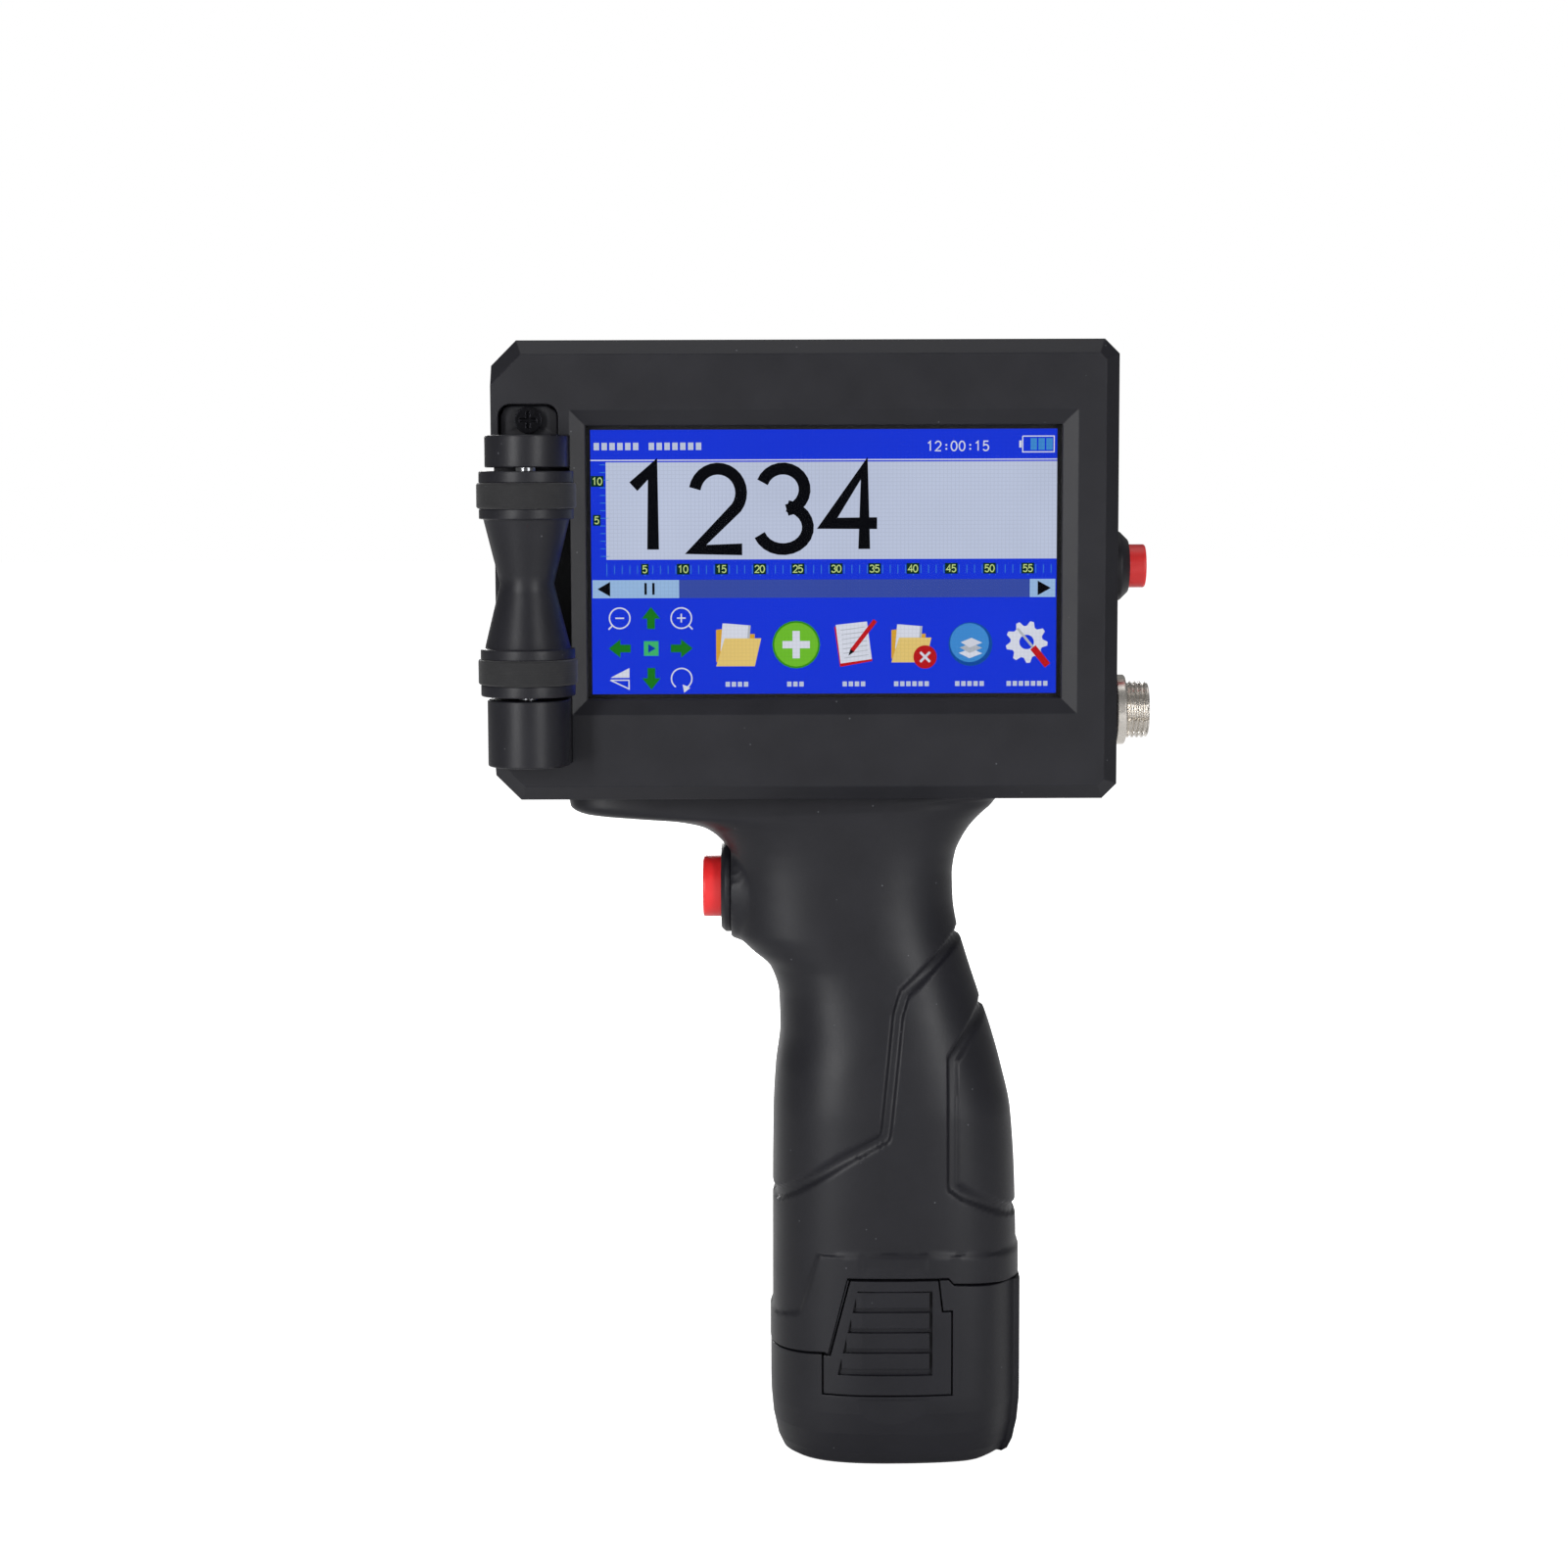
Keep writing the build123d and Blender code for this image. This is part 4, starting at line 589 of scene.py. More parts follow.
def through(rows, at):
    """Monotone cubic values of each column of rows, whose first column is the distance."""
    distance, values = rows[:, 0], rows[:, 1:]
    span = np.diff(distance)[:, None]
    rise = np.diff(values, axis=0) / span
    before, after = rise[:-1], rise[1:]
    same_way = before * after > 0
    total = np.where(same_way, before + after, 1.0)
    inner = np.where(same_way, 2 * before * after / total, 0.0)
    slope = np.vstack([rise[:1], inner, rise[-1:]])
    number = np.clip(np.searchsorted(distance, at, side="right") - 1, 0, len(distance) - 2)
    width = span[number]
    t = ((at - distance[number])[:, None]) / width
    here = (2 * t ** 3 - 3 * t ** 2 + 1) * values[number] + (t ** 3 - 2 * t ** 2 + t) * slope[number] * width
    there = (3 * t ** 2 - 2 * t ** 3) * values[number + 1] + (t ** 3 - t ** 2) * slope[number + 1] * width
    return here + there


print(len(SLICES), "slices from z", SLICES[0, 1], "to", SLICES[-1, 1], "mm")

# %% [markdown]
# ## The grid of the skin
# A band pressed into a coarse grid gets ragged edges, most of all where it runs along the columns
# and slips from one to the next. A finer grid everywhere would cost too many faces. So columns are
# packed only where two bands run steeply, and the rest of each slice is spread evenly.

# %% Skin of the grip
SKIN_STEP = 0.62
SKIN_THICK = 2.2
FRONT_STEEP = [(-2.6, 71.4), (-2.2, 74.2), (0.2, 97.0), (1.6, 101.6)]
SIDE_STEEP = 11.8
SIDE_CLEAR = 5.5
PACKED_HALF = 1.8
COLUMN_STEPS = (60, 12, 18, 12, 35)
SLICE_SAMPLES = 1201
TINY = 1e-9


def stations(reach, first, second):
    """Column places along one slice, packed where the two steep bands cross it."""
    knots = [0, first - PACKED_HALF, first + PACKED_HALF, second - PACKED_HALF, second + PACKED_HALF,
             reach]
    counts = np.concatenate([[0], np.cumsum(COLUMN_STEPS)])
    return np.interp(np.arange(counts[-1] + 1), counts, knots)


def slice_points(left_x, left_z, right_x, right_z, half_depth, power):
    """Points round half of one tilted slice, from its left end to its right end."""
    angle = np.linspace(0, pi, SLICE_SAMPLES)
    x = -np.sign(np.cos(angle)) * np.abs(np.cos(angle)) ** (2 / power)
    y = np.abs(np.sin(angle)) ** (2 / power)
    x = (left_x + right_x) / 2 + x * (right_x - left_x) / 2
    y = y * half_depth
    length = np.concatenate([[0], np.cumsum(np.hypot(np.diff(x), np.diff(y)))])
    steep_x, steep_z = zip(*FRONT_STEEP)
    bands = [np.interp(left_z, steep_z, steep_x), min(SIDE_STEEP, right_x - SIDE_CLEAR)]
    places = stations(length[-1], *np.interp(bands, x, length))
    x, y = np.interp(places, length, x), np.interp(places, length, y)
    z = left_z + (right_z - left_z) * (x - left_x) / (right_x - left_x)
    return np.stack([x, y, z], axis=1)


def skin_grid():
    """The grip's smooth outer surface on the side of +y, as rows by columns by 3."""
    left = np.hypot(np.diff(SLICES[:, 0]), np.diff(SLICES[:, 1]))
    right = np.hypot(np.diff(SLICES[:, 2]), np.diff(SLICES[:, 3]))
    climb = np.concatenate([[0], np.cumsum(np.maximum(left, right))])
    at = np.linspace(0, climb[-1], round(climb[-1] / SKIN_STEP) + 1)
    rows = through(np.column_stack([climb, SLICES]), at)
    return np.stack([slice_points(*row) for row in rows])


def grid_normals(grid):
    """Outward normals of a grid that runs left to right on the side of +y."""
    along = np.gradient(grid, axis=0)
    across = np.gradient(grid, axis=1)
    normal = np.cross(across, along)
    length = np.linalg.norm(normal, axis=2, keepdims=True)
    normal = normal / np.maximum(length, TINY)
    normal[:, 0] = normal[:, 0] * (1, 0, 1)
    normal[:, -1] = normal[:, -1] * (1, 0, 1)
    return normal / np.maximum(np.linalg.norm(normal, axis=2, keepdims=True), TINY)


SKIN = skin_grid()
SKIN_NORMALS = grid_normals(SKIN)
outward = float((SKIN_NORMALS[:, SKIN.shape[1] // 2, 1]).mean())
SKIN_NORMALS = SKIN_NORMALS * (1 if outward > 0 else -1)
print("skin grid", SKIN.shape, "mean depthwise normal", round(abs(outward), 2))

# %% [markdown]
# ## Bands, collar and trigger pad
# Narrow sunken bands frame the palm, a raised collar marks the battery's socket, and a flat pad
# carries the trigger. A fine groove runs where the two halves meet. All could be cut with booleans,
# but a band that runs over a curved palm keeps an even depth only if each point moves along its own
# normal. So each feature is a mask over the skin, measured as a distance from a line, and the masks
# push points in or out.

# %% Relief on the skin
FRONT_BAND = [(-40, 56.7), (-26, 56.7), (-11.4, 66.4), *FRONT_STEEP, (13.5, 112.4), (20, 118.4)]
SIDE_BAND = [(30, 111.0), (24, 103.4), (18.8, 97.2), (SIDE_STEEP, 87.6), (SIDE_STEEP, 60.6), (14, 58.9),
             (26, 53.1), (40, 46.6)]
COLLAR = [(-40, 30.6), (-26.3, 30.6), (-20.4, 32.8), (-16.6, 45.8), (3, 46.7), (26.5, 44.8), (40, 43.8)]
# left and right x, then low and high z, of the shallow recess over the latch
BLANK_PLATE = (-7.4, 6.3, 42.7, 46.0)
BAND_WIDTH = 2.1
BAND_DEPTH = 0.8
COLLAR_RISE = 0.5
PLATE_DEPTH = 0.3
CRISP = 0.75
PARTING_DEPTH = 0.3
PARTING_HALF = 0.35
PARTING_CRISP = 0.5
PAD_WALL = 4.0
TRIGGER_Z = middle("trigger_bezel").z / MM
TRIGGER_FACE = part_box("trigger_nut")[0].x / MM - PAD_WALL
PAD_R = 10.6
PAD_BLEND = 1.5
PAD_SIDE = -20.0


def line_distance(x, z, line):
    """Distance in x and z from each point to the nearest stretch of a line."""
    best = np.full(x.shape, np.inf)
    for (x0, z0), (x1, z1) in zip(line, line[1:]):
        run, rise = x1 - x0, z1 - z0
        share = np.clip(((x - x0) * run + (z - z0) * rise) / (run ** 2 + rise ** 2), 0, 1)
        best = np.minimum(best, np.hypot(x - x0 - share * run, z - z0 - share * rise))
    return best


def step(value, width):
    """0 below -width / 2, 1 above width / 2, and a smooth ramp between."""
    share = np.clip(value / width + 0.5, 0, 1)
    return share * share * (3 - 2 * share)


def relief(grid):
    """How far each point of the skin moves out along its normal, in millimetres."""
    x, y, z = grid[..., 0], grid[..., 1], grid[..., 2]
    out = np.zeros(x.shape)
    for band in (FRONT_BAND, SIDE_BAND):
        out -= BAND_DEPTH * step(BAND_WIDTH / 2 - line_distance(x, z, band), CRISP)
    xs, zs = zip(*COLLAR)
    below = np.where(z < np.interp(x, xs, zs), 1, -1) * line_distance(x, z, COLLAR)
    out += COLLAR_RISE * step(below, CRISP)
    left, right, low, high = BLANK_PLATE
    inside = np.minimum(np.minimum(x - left, right - x), np.minimum(z - low, high - z))
    out -= PLATE_DEPTH * step(inside, CRISP)
    out -= PARTING_DEPTH * step(PARTING_HALF - y, PARTING_CRISP)
    return out


def with_pad(grid):
    """Flattens the skin round the trigger to a disc that faces the printing side."""
    radius = np.hypot(grid[..., 1], grid[..., 2] - TRIGGER_Z)
    share = step(PAD_R + PAD_BLEND / 2 - radius, PAD_BLEND) * (grid[..., 0] < PAD_SIDE)
    flat = grid.copy()
    flat[..., 0] += share * (TRIGGER_FACE - grid[..., 0])
    return flat


OUTER = with_pad(SKIN + SKIN_NORMALS * relief(SKIN)[..., None])
INNER = SKIN - SKIN_NORMALS * SKIN_THICK
INNER[..., 2] = np.minimum(INNER[..., 2], SKIN[-1, 0, 2])
print("relief in mm:", [round(float(value), 2) for value in (relief(SKIN).min(), relief(SKIN).max())])

# %% [markdown]
# ## Closing the two grip halves
# Each half is a real moulding with a wall, so the outer skin gets an inner one and a rim all
# round. The lower edge steps up round the latch and the trigger's neck passes through the pad:
# those two are crisp cuts, which is what booleans are good at.

# %% Grip halves
SEAM = [(-40.0, 24.0), (-26.8, 24.1), (-15.4, 25.0), (-14.6, 24.6), (-10.5, 41.3), (10.8, 41.3),
        (12.0, 40.0), (26.8, 38.7), (40.0, 38.7)]
SHELF_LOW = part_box("battery_terminal_block")[1].z / MM
SHELF_THICK = 2.0
SHELF_BITE = 0.4
SHELF_EVERY = 4
BUSH_R = 8.0
BUSH_SIDES = 64
BUSH_INWARD = 12.0
BUSH_OUTWARD = 8.0
FAR = 40.0
BELOW = -20.0


def rim_faces(rows, columns):
    """Quads that join the border of the outer grid to the border of the inner one."""
    bottom = list(range(columns - 1))
    right = [row * columns + columns - 1 for row in range(rows - 1)]
    top = [(rows - 1) * columns + column for column in range(columns - 1, 0, -1)]
    left = [row * columns for row in range(rows - 1, 0, -1)]
    border = bottom + right + top + left
    shift = rows * columns
    return [(b, a, a + shift, b + shift) for a, b in zip(border, border[1:] + border[:1])]


def shelf_points():
    """Outline of the floor that the terminal block hangs from, a little into the wall."""
    row = int(np.argmin(np.abs(SKIN[:, 0, 2] - SHELF_LOW)))
    edge = SKIN[row] - SKIN_NORMALS[row] * (SKIN_THICK - SHELF_BITE)
    return edge[::SHELF_EVERY]


def grip_half(name, side, node):
    rows, columns = OUTER.shape[:2]
    flip = np.array([1, side, 1])
    points = np.concatenate([(OUTER * flip).reshape(-1, 3), (INNER * flip).reshape(-1, 3)])
    faces = grid_faces(rows, columns) + grid_faces(rows, columns, rows * columns, True)
    faces += rim_faces(rows, columns)
    if side > 0:
        faces = [face[::-1] for face in faces]
    made = piece(name, points * MM, faces, "black_abs", "housing")
    turns = [tau * n / BUSH_SIDES for n in range(BUSH_SIDES)]
    rim = [(BUSH_R * cos(turn), BUSH_R * sin(turn) + TRIGGER_Z) for turn in turns]
    ends = (TRIGGER_FACE - BUSH_OUTWARD, TRIGGER_FACE + BUSH_INWARD)
    carve(made, [Vector((x, y, z)) * MM for x in ends for y, z in rim], prism_faces(BUSH_SIDES))
    carve(made, *prism(SEAM + [(FAR, BELOW), (-FAR, BELOW)], -FAR, FAR))
    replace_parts(made, node)
    return made


for face, side in (("front", -1), ("rear", 1)):
    half = grip_half(f"grip_skin_{face}", side, f"grip_shell_{face}")
    print(half.name, len(half.data.polygons), "faces")


def grip_shelf():
    edge = shelf_points()
    outline = [(x, y) for x, y, z in edge] + [(x, -y) for x, y, z in edge[-2:0:-1]]
    points = [Vector((x, y, z)) * MM for z in (SHELF_LOW, SHELF_LOW + SHELF_THICK) for x, y in outline]
    return piece("grip_shelf", points, prism_faces(len(outline)), "black_abs", "housing")


print("shelf with", len(grip_shelf().data.polygons), "faces")

# %% [markdown]
# ## The threaded socket
# The sensor plugs into a nickel-plated panel socket, whose barrel carries a screw thread. A
# picture of rings would do from afar, but a thread is one helix, and its slant shows up close.
# The radius here drops in a V whose place depends on both the length and the angle.

# %% Threaded socket
BARREL_R = 6.0
BORE_R = 4.9
FLANGE_THICK = 2.2
THREAD_PITCH = 1.0
THREAD_DEPTH = 0.42
KEY_ANGLES = (196.0, 232.0)
KEY_HALF_WIDTH = 2.6
KEY_DEPTH = 0.5
THREAD_STEP = 0.1
RUN_IN = 0.5
TIP_LIP = 0.6
BORE_LIP = 0.25
FLANGE_EDGE = 0.3
AROUND = 144


def threaded_socket():
    low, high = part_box("sensor_socket_body")
    centre = (low + high) / 2
    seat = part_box("sensor_socket_gasket")[1].x / MM
    back, tip = low.x / MM, high.x / MM
    flange_r = (high.z - low.z) / 2 / MM
    face = seat + FLANGE_THICK
    angle = np.arange(AROUND) / AROUND * tau
    keys = sum(np.abs(np.degrees(angle) - key) < KEY_HALF_WIDTH for key in KEY_ANGLES)
    rows = [(back, BORE_R), (back, BARREL_R), (seat, BARREL_R), (seat, flange_r - FLANGE_EDGE),
            (seat + FLANGE_EDGE, flange_r), (face - FLANGE_EDGE, flange_r), (face, flange_r - FLANGE_EDGE),
            (face, BARREL_R)]
    rings = [(x, np.full(AROUND, radius)) for x, radius in rows]
    for x in np.arange(face + THREAD_STEP, tip - THREAD_STEP / 2, THREAD_STEP):
        phase = (x / THREAD_PITCH + angle / tau) % 1.0
        groove = THREAD_DEPTH * np.clip(1.6 - 4 * np.abs(phase - 0.5), 0, 1)
        run_in = min(1.0, (x - face) / RUN_IN)
        radius = BARREL_R - groove * run_in - KEY_DEPTH * keys
        rings.append((x, np.minimum(radius, BARREL_R - TIP_LIP + THREAD_STEP + (tip - x))))
    for x, radius in ((tip, BARREL_R - TIP_LIP), (tip, BORE_R + BORE_LIP), (tip - BORE_LIP, BORE_R)):
        rings.append((x, np.full(AROUND, radius)))
    points = [(x * MM, centre.y + r * cos(a) * MM, centre.z + r * sin(a) * MM)
              for x, radii in rings for a, r in zip(angle, radii)]
    faces = []
    for row in range(len(rings)):
        here, after = row * AROUND, (row + 1) % len(rings) * AROUND
        for n in range(AROUND):
            beside = (n + 1) % AROUND
            faces.append((here + n, here + beside, after + beside, after + n))
    made = piece("sensor_socket_barrel", points, faces, "nickel", "housing")
    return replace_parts(made, "sensor_socket_body")


print("socket with", len(threaded_socket().data.polygons), "faces")

# %% [markdown]
# ## Springs
# Behind each button and each battery latch a coil spring pushes back. A coil could be a curve with
# a bevel, but it has to shorten as the button goes in, and only a mesh can be squashed. So a ring
# of points is carried along a helix. The cartridge lever's spring twists instead, so it only gets
# the shape.

# %% Coil springs
WIRE_R = 0.3
WIRE_SIDES = 8
STEPS_PER_TURN = 28


def coil(name, node, axis, turns, body="housing"):
    """A helix of round wire that fills a CAD spring's box; axis is 0 for x, 1 for y and 2 for z."""
    across, up = (axis + 1) % 3, (axis + 2) % 3
    low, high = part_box(node)
    centre = (low + high) / 2
    wire = WIRE_R * MM
    radius = (high[up] - low[up]) / 2 - wire
    count = turns * STEPS_PER_TURN
    points = []
    for number in range(count + 1):
        angle = tau * number / STEPS_PER_TURN
        along = low[axis] + wire + (high[axis] - low[axis] - 2 * wire) * number / count
        for side in range(WIRE_SIDES):
            turn = tau * side / WIRE_SIDES
            reach = radius + wire * cos(turn)
            point = Vector((0, 0, 0))
            point[axis] = along + wire * sin(turn)
            point[across] = centre[across] + reach * cos(angle)
            point[up] = centre[up] + reach * sin(angle)
            points.append(point)
    faces = [tuple(range(WIRE_SIDES)), tuple(range(count * WIRE_SIDES, (count + 1) * WIRE_SIDES))[::-1]]
    for number in range(count):
        for side in range(WIRE_SIDES):
            a = number * WIRE_SIDES + side
            b = number * WIRE_SIDES + (side + 1) % WIRE_SIDES
            faces.append((b, a, a + WIRE_SIDES, b + WIRE_SIDES))
    made = piece(name, points, faces, "bright_steel", body)
    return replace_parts(made, node)


for button, joint, fixed in (("trigger", "trigger_press", 1), ("power", "power_press", 0)):
    spring = coil(f"{button}_coil", f"{button}_spring", 0, 6)
    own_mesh(spring)
coil("cartridge_lever_coil", "cartridge_latch_spring", 2, 4)
for side, fixed in (("front", 1), ("rear", 0)):
    node = f"battery_latch_spring_{side}"
    spring = coil(f"battery_latch_coil_{side}", node, 1, 3, "battery")
    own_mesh(spring)

# %% [markdown]
# ## The picture on the screen
# The screen shows the message to be printed, a ruler, a scroll bar and a row of buttons. It could
# be an image texture, but tiles cut to shape stay sharp at any distance and need no file. Each
# tile is a thin closed plate, and later layers lie in front of earlier ones. Outlines are given
# in millimetres to the right of the picture's corner and down from it.

# %% Tiles of the picture
PANEL_LOW, PANEL_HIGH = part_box("touch_panel")
PICTURE_INSET = 2.2
PICTURE_DROP = 6.0
PICTURE_LEFT = PANEL_LOW.x / MM + PICTURE_INSET
PICTURE_TOP = PANEL_HIGH.z / MM - PICTURE_DROP
PICTURE_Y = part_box("lcd_module")[0].y / MM
PICTURE_WIDTH = 95.04
PICTURE_HEIGHT = 53.86
LAYER = 0.05
PLATE_THICK = 0.045
BLUE = srgb(28, 60, 235)
DEEP = srgb(62, 84, 178)
PALE = srgb(205, 215, 240)
WHITE = srgb(232, 236, 250)
BLACK = srgb(8, 9, 14)
GREEN = srgb(30, 130, 34)
LIME = srgb(120, 204, 52)
YELLOW = srgb(232, 176, 60)
CREAM = srgb(246, 214, 128)
RED = srgb(206, 30, 36)
SKY = srgb(70, 150, 226)
STEEL = srgb(190, 196, 206)
picture = {"points": [], "faces": [], "tints": []}


def plate(front, faces, border, tint, layer):
    """Adds a closed plate: its front outline points, front faces and border loops."""
    start = len(picture["points"])
    count = len(front)
    near = PICTURE_Y - LAYER * (layer + 1)
    for y in (near, near + PLATE_THICK):
        for right, down in front:
            picture["points"].append(Vector((PICTURE_LEFT + right, y, PICTURE_TOP - down)) * MM)
    added = [tuple(start + n for n in face) for face in faces]
    added += [tuple(start + count + n for n in face[::-1]) for face in faces]
    for loop in border:
        for a, b in zip(loop, loop[1:] + loop[:1]):
            added.append((start + b, start + a, start + count + a, start + count + b))
    picture["faces"] += added
    picture["tints"] += [tint] * len(added)


def tile(outline, tint, layer=1):
    loop = list(range(len(outline)))
    plate(outline, [tuple(loop)], [loop], tint, layer)


def box_tile(right, down, width, height, tint, layer=1):
    tile([(right, down), (right, down + height), (right + width, down + height), (right + width, down)],
         tint, layer)


def arc(right, down, wide, tall, first, last, count=16):
    """Points along an ellipse; angles in degrees, anticlockwise from the right."""
    turns = [radians(first + (last - first) * n / count) for n in range(count + 1)]
    return [(right + wide * cos(turn), down - tall * sin(turn)) for turn in turns]


def disc(right, down, radius, tint, layer=1):
    tile(arc(right, down, radius, radius, 0, 345, 23), tint, layer)


def around(right, down, points, size=1.0):
    """Points of an outline that is drawn about a centre."""
    return [(right + x * size, down + y * size) for x, y in points]


print("tiles lie", LAYER, "mm apart on a picture", PICTURE_WIDTH, "mm wide")

# %% [markdown]
# ## Strokes and figures
# Blender has text objects, but they need a font file, and a font's outlines are somebody's design.
# A figure is only a few strokes of even width, so each one is a line of points and arcs in a cell
# one unit high, and one function thickens a line into a plate. Words are left as plain blocks.

# %% Strokes and figures
BLOCK_PITCH = 1.25
BLOCK_WIDE = 0.9
BLOCK_TALL = 1.0
SHARPEST = 0.5


def stroke(line, width, tint, layer=1):
    """A line of even width with mitred corners, as one closed plate."""
    left, right = [], []
    for number, point in enumerate(line):
        before = Vector(point) - Vector(line[max(number - 1, 0)])
        after = Vector(line[min(number + 1, len(line) - 1)]) - Vector(point)
        way = before.normalized() + after.normalized()
        way = way.normalized()
        bend = max(SHARPEST, way.dot((after if after.length else before).normalized()))
        side = Vector((-way.y, way.x)) * (width / 2 / bend)
        left.append((point[0] + side.x, point[1] + side.y))
        right.append((point[0] - side.x, point[1] - side.y))
    count = len(line)
    faces = [(n, n + 1, count + n + 1, count + n) for n in range(count - 1)]
    loop = list(range(count)) + list(range(2 * count - 1, count - 1, -1))
    plate(left + right, faces, [loop], tint, layer)


STROKES = {
    "0": [arc(0.3, 0.5, 0.3, 0.5, 90, 450, 28)],
    "1": [[(0.08, 0.22), (0.32, 0.0), (0.32, 1.0)]],
    "2": [arc(0.3, 0.3, 0.29, 0.3, 170, -38) + [(0.02, 1.0), (0.6, 1.0)]],
    "3": [arc(0.28, 0.26, 0.27, 0.26, 160, -80), arc(0.28, 0.73, 0.31, 0.27, 80, -160)],
    "4": [[(0.46, 1.0), (0.46, 0.0), (0.0, 0.68), (0.62, 0.68)]],
    "5": [[(0.56, 0.0), (0.1, 0.0), (0.06, 0.46)] + arc(0.28, 0.68, 0.3, 0.32, 125, -150)],
}


def digits(text, right, down, height, pitch, width, tint, layer=2):
    """Figures drawn with strokes, from the left end of the first one."""
    for number, figure in enumerate(text):
        start = right + number * pitch
        if figure == ":":
            dot = width * 1.3
            for share in (0.3, 0.72):
                box_tile(start + pitch * 0.28, down + height * share, dot, dot, tint, layer)
            continue
        for line in STROKES[figure]:
            stroke(around(start, down, line, height), width, tint, layer)


def word_blocks(right, down, count, tint=PALE):
    """A row of small blocks where the real screen has a word."""
    for number in range(count):
        box_tile(right + (number - count / 2) * BLOCK_PITCH, down, BLOCK_WIDE, BLOCK_TALL, tint)


print("figures that can be drawn:", " ".join(STROKES))

# %% [markdown]
# ## Ruler, message and scroll bar
# The upper half of the picture is laid out on the ruler: five units are 7.8 mm of screen. The
# marks, their numbers and the scroll bar are loops over that pitch.

# %% Upper half of the picture
RULER_START = 3.1
RULER_UNIT = 1.565
MESSAGE = "1234"
LABEL_GREEN = srgb(14, 52, 40)
LABEL_TEXT = srgb(206, 232, 150)
THUMB = srgb(164, 200, 242)
FIELD_LEFT = 3.1
TITLE_BLOCKS = 14
TITLE_SPACE = 6
SIDE_PITCH = 1.55
TICK = 0.12
BAR_TOP = 30.5
BAR_TALL = 3.7
BAR_MIDDLE = BAR_TOP + BAR_TALL / 2


def message_field():
    box_tile(0, 0, PICTURE_WIDTH, PICTURE_HEIGHT, BLUE, 0)
    box_tile(0, 6.05, PICTURE_WIDTH, 0.22, WHITE)
    for number in range(TITLE_BLOCKS):
        if number != TITLE_SPACE:
            box_tile(0.7 + number * 1.6, 2.6, 1.1, 1.5, PALE)
    digits("12:00:15", 68.6, 2.5, 1.9, 1.62, 0.26, WHITE)
    box_tile(FIELD_LEFT, 6.55, PICTURE_WIDTH - FIELD_LEFT, 19.8, PALE)
    digits(MESSAGE, 7.4, 7.9, 16.4, 13.6, 2.4, BLACK)


def battery_sign():
    left, top, wide, tall = 88.0, 1.5, 6.4, 3.2
    stroke(around(left, top, [(0, 0), (wide, 0), (wide, tall), (0, tall), (0, 0)]), 0.22, WHITE)
    box_tile(left - 0.7, top + 0.9, 0.5, 1.4, WHITE)
    for number in range(3):
        box_tile(left + 1.6 + number * 1.6, top + 0.4, 1.3, tall - 0.8, SKY)


def number_label(text, right, down):
    wide = 1.05 * len(text) + 0.5
    box_tile(right - wide / 2, down - 1.1, wide, 2.2, LABEL_GREEN, 2)
    digits(text, right - wide / 2 + 0.35, down - 0.7, 1.4, 1.05, 0.22, LABEL_TEXT, 3)


def rulers():
    for unit in range(59):
        tall = 2.6 if unit % 5 == 0 else 1.7
        box_tile(RULER_START + unit * RULER_UNIT, 28.4 - tall / 2, TICK, tall, SKY)
    for unit in range(5, 56, 5):
        number_label(str(unit), RULER_START + unit * RULER_UNIT, 28.3)
    for unit in range(13):
        box_tile(1.9, 25.6 - unit * SIDE_PITCH, 1.1 if unit % 5 else 1.8, TICK, SKY)
    number_label("10", 1.35, 10.4)
    number_label("5", 1.2, 18.3)


def scroll_bar():
    box_tile(0.2, BAR_TOP, PICTURE_WIDTH - 0.4, BAR_TALL, DEEP)
    for left, wide in ((0.2, 17.7), (89.6, 5.2)):
        box_tile(left, BAR_TOP, wide, BAR_TALL, THUMB, 2)
    for left in (10.8, 12.4):
        box_tile(left, BAR_TOP + 0.6, 0.5, 2.4, BLACK, 3)
    tile(around(1.2, BAR_MIDDLE, [(0, 0), (2.6, 1.5), (2.6, -1.5)]), BLACK, 3)
    tile(around(93.9, BAR_MIDDLE, [(0, 0), (-2.7, -1.5), (-2.7, 1.5)]), BLACK, 3)


for draw in (message_field, battery_sign, rulers, scroll_bar):
    draw()
print(len(picture["faces"]), "faces in the upper half")

# %% [markdown]
# ## The pad of small signs
# Nine small signs in a square enlarge, turn, mirror and move the message. Each is a handful of
# plates in its own function, drawn about the centre that it is given. Three columns and three rows
# place all nine.

# %% Pad of small signs
PAD_RIGHT = (5.7, 12.1, 18.3)
PAD_DOWN = (38.3, 44.5, 50.7)
SIGN_R = 2.1
THIN = 0.28
PLAY_GREEN = srgb(70, 196, 120)
PLAY_BLUE = srgb(20, 60, 190)


def lens_sign(right, down, plus):
    stroke(arc(right, down, SIGN_R, SIGN_R, 90, 450, 24), THIN, WHITE)
    box_tile(right - 0.9, down - THIN / 2, 1.8, THIN, WHITE)
    if plus:
        box_tile(right - THIN / 2, down - 0.9, THIN, 1.8, WHITE, 2)
    way = 1 if plus else -1
    stroke(around(right, down, [(way * 1.5, 1.5), (way * 2.3, 2.3)]), 0.3, WHITE)


def arrow_sign(right, down, quarter):
    """An arrow that points up, turned by quarter turns clockwise."""
    shape = [(0, -2.3), (-1.9, 0.1), (-0.8, 0.1), (-0.8, 2.2), (0.8, 2.2), (0.8, 0.1), (1.9, 0.1)]
    c, s = cos(radians(90 * quarter)), sin(radians(90 * quarter))
    tile(around(right, down, [(x * c - y * s, x * s + y * c) for x, y in shape]), GREEN)


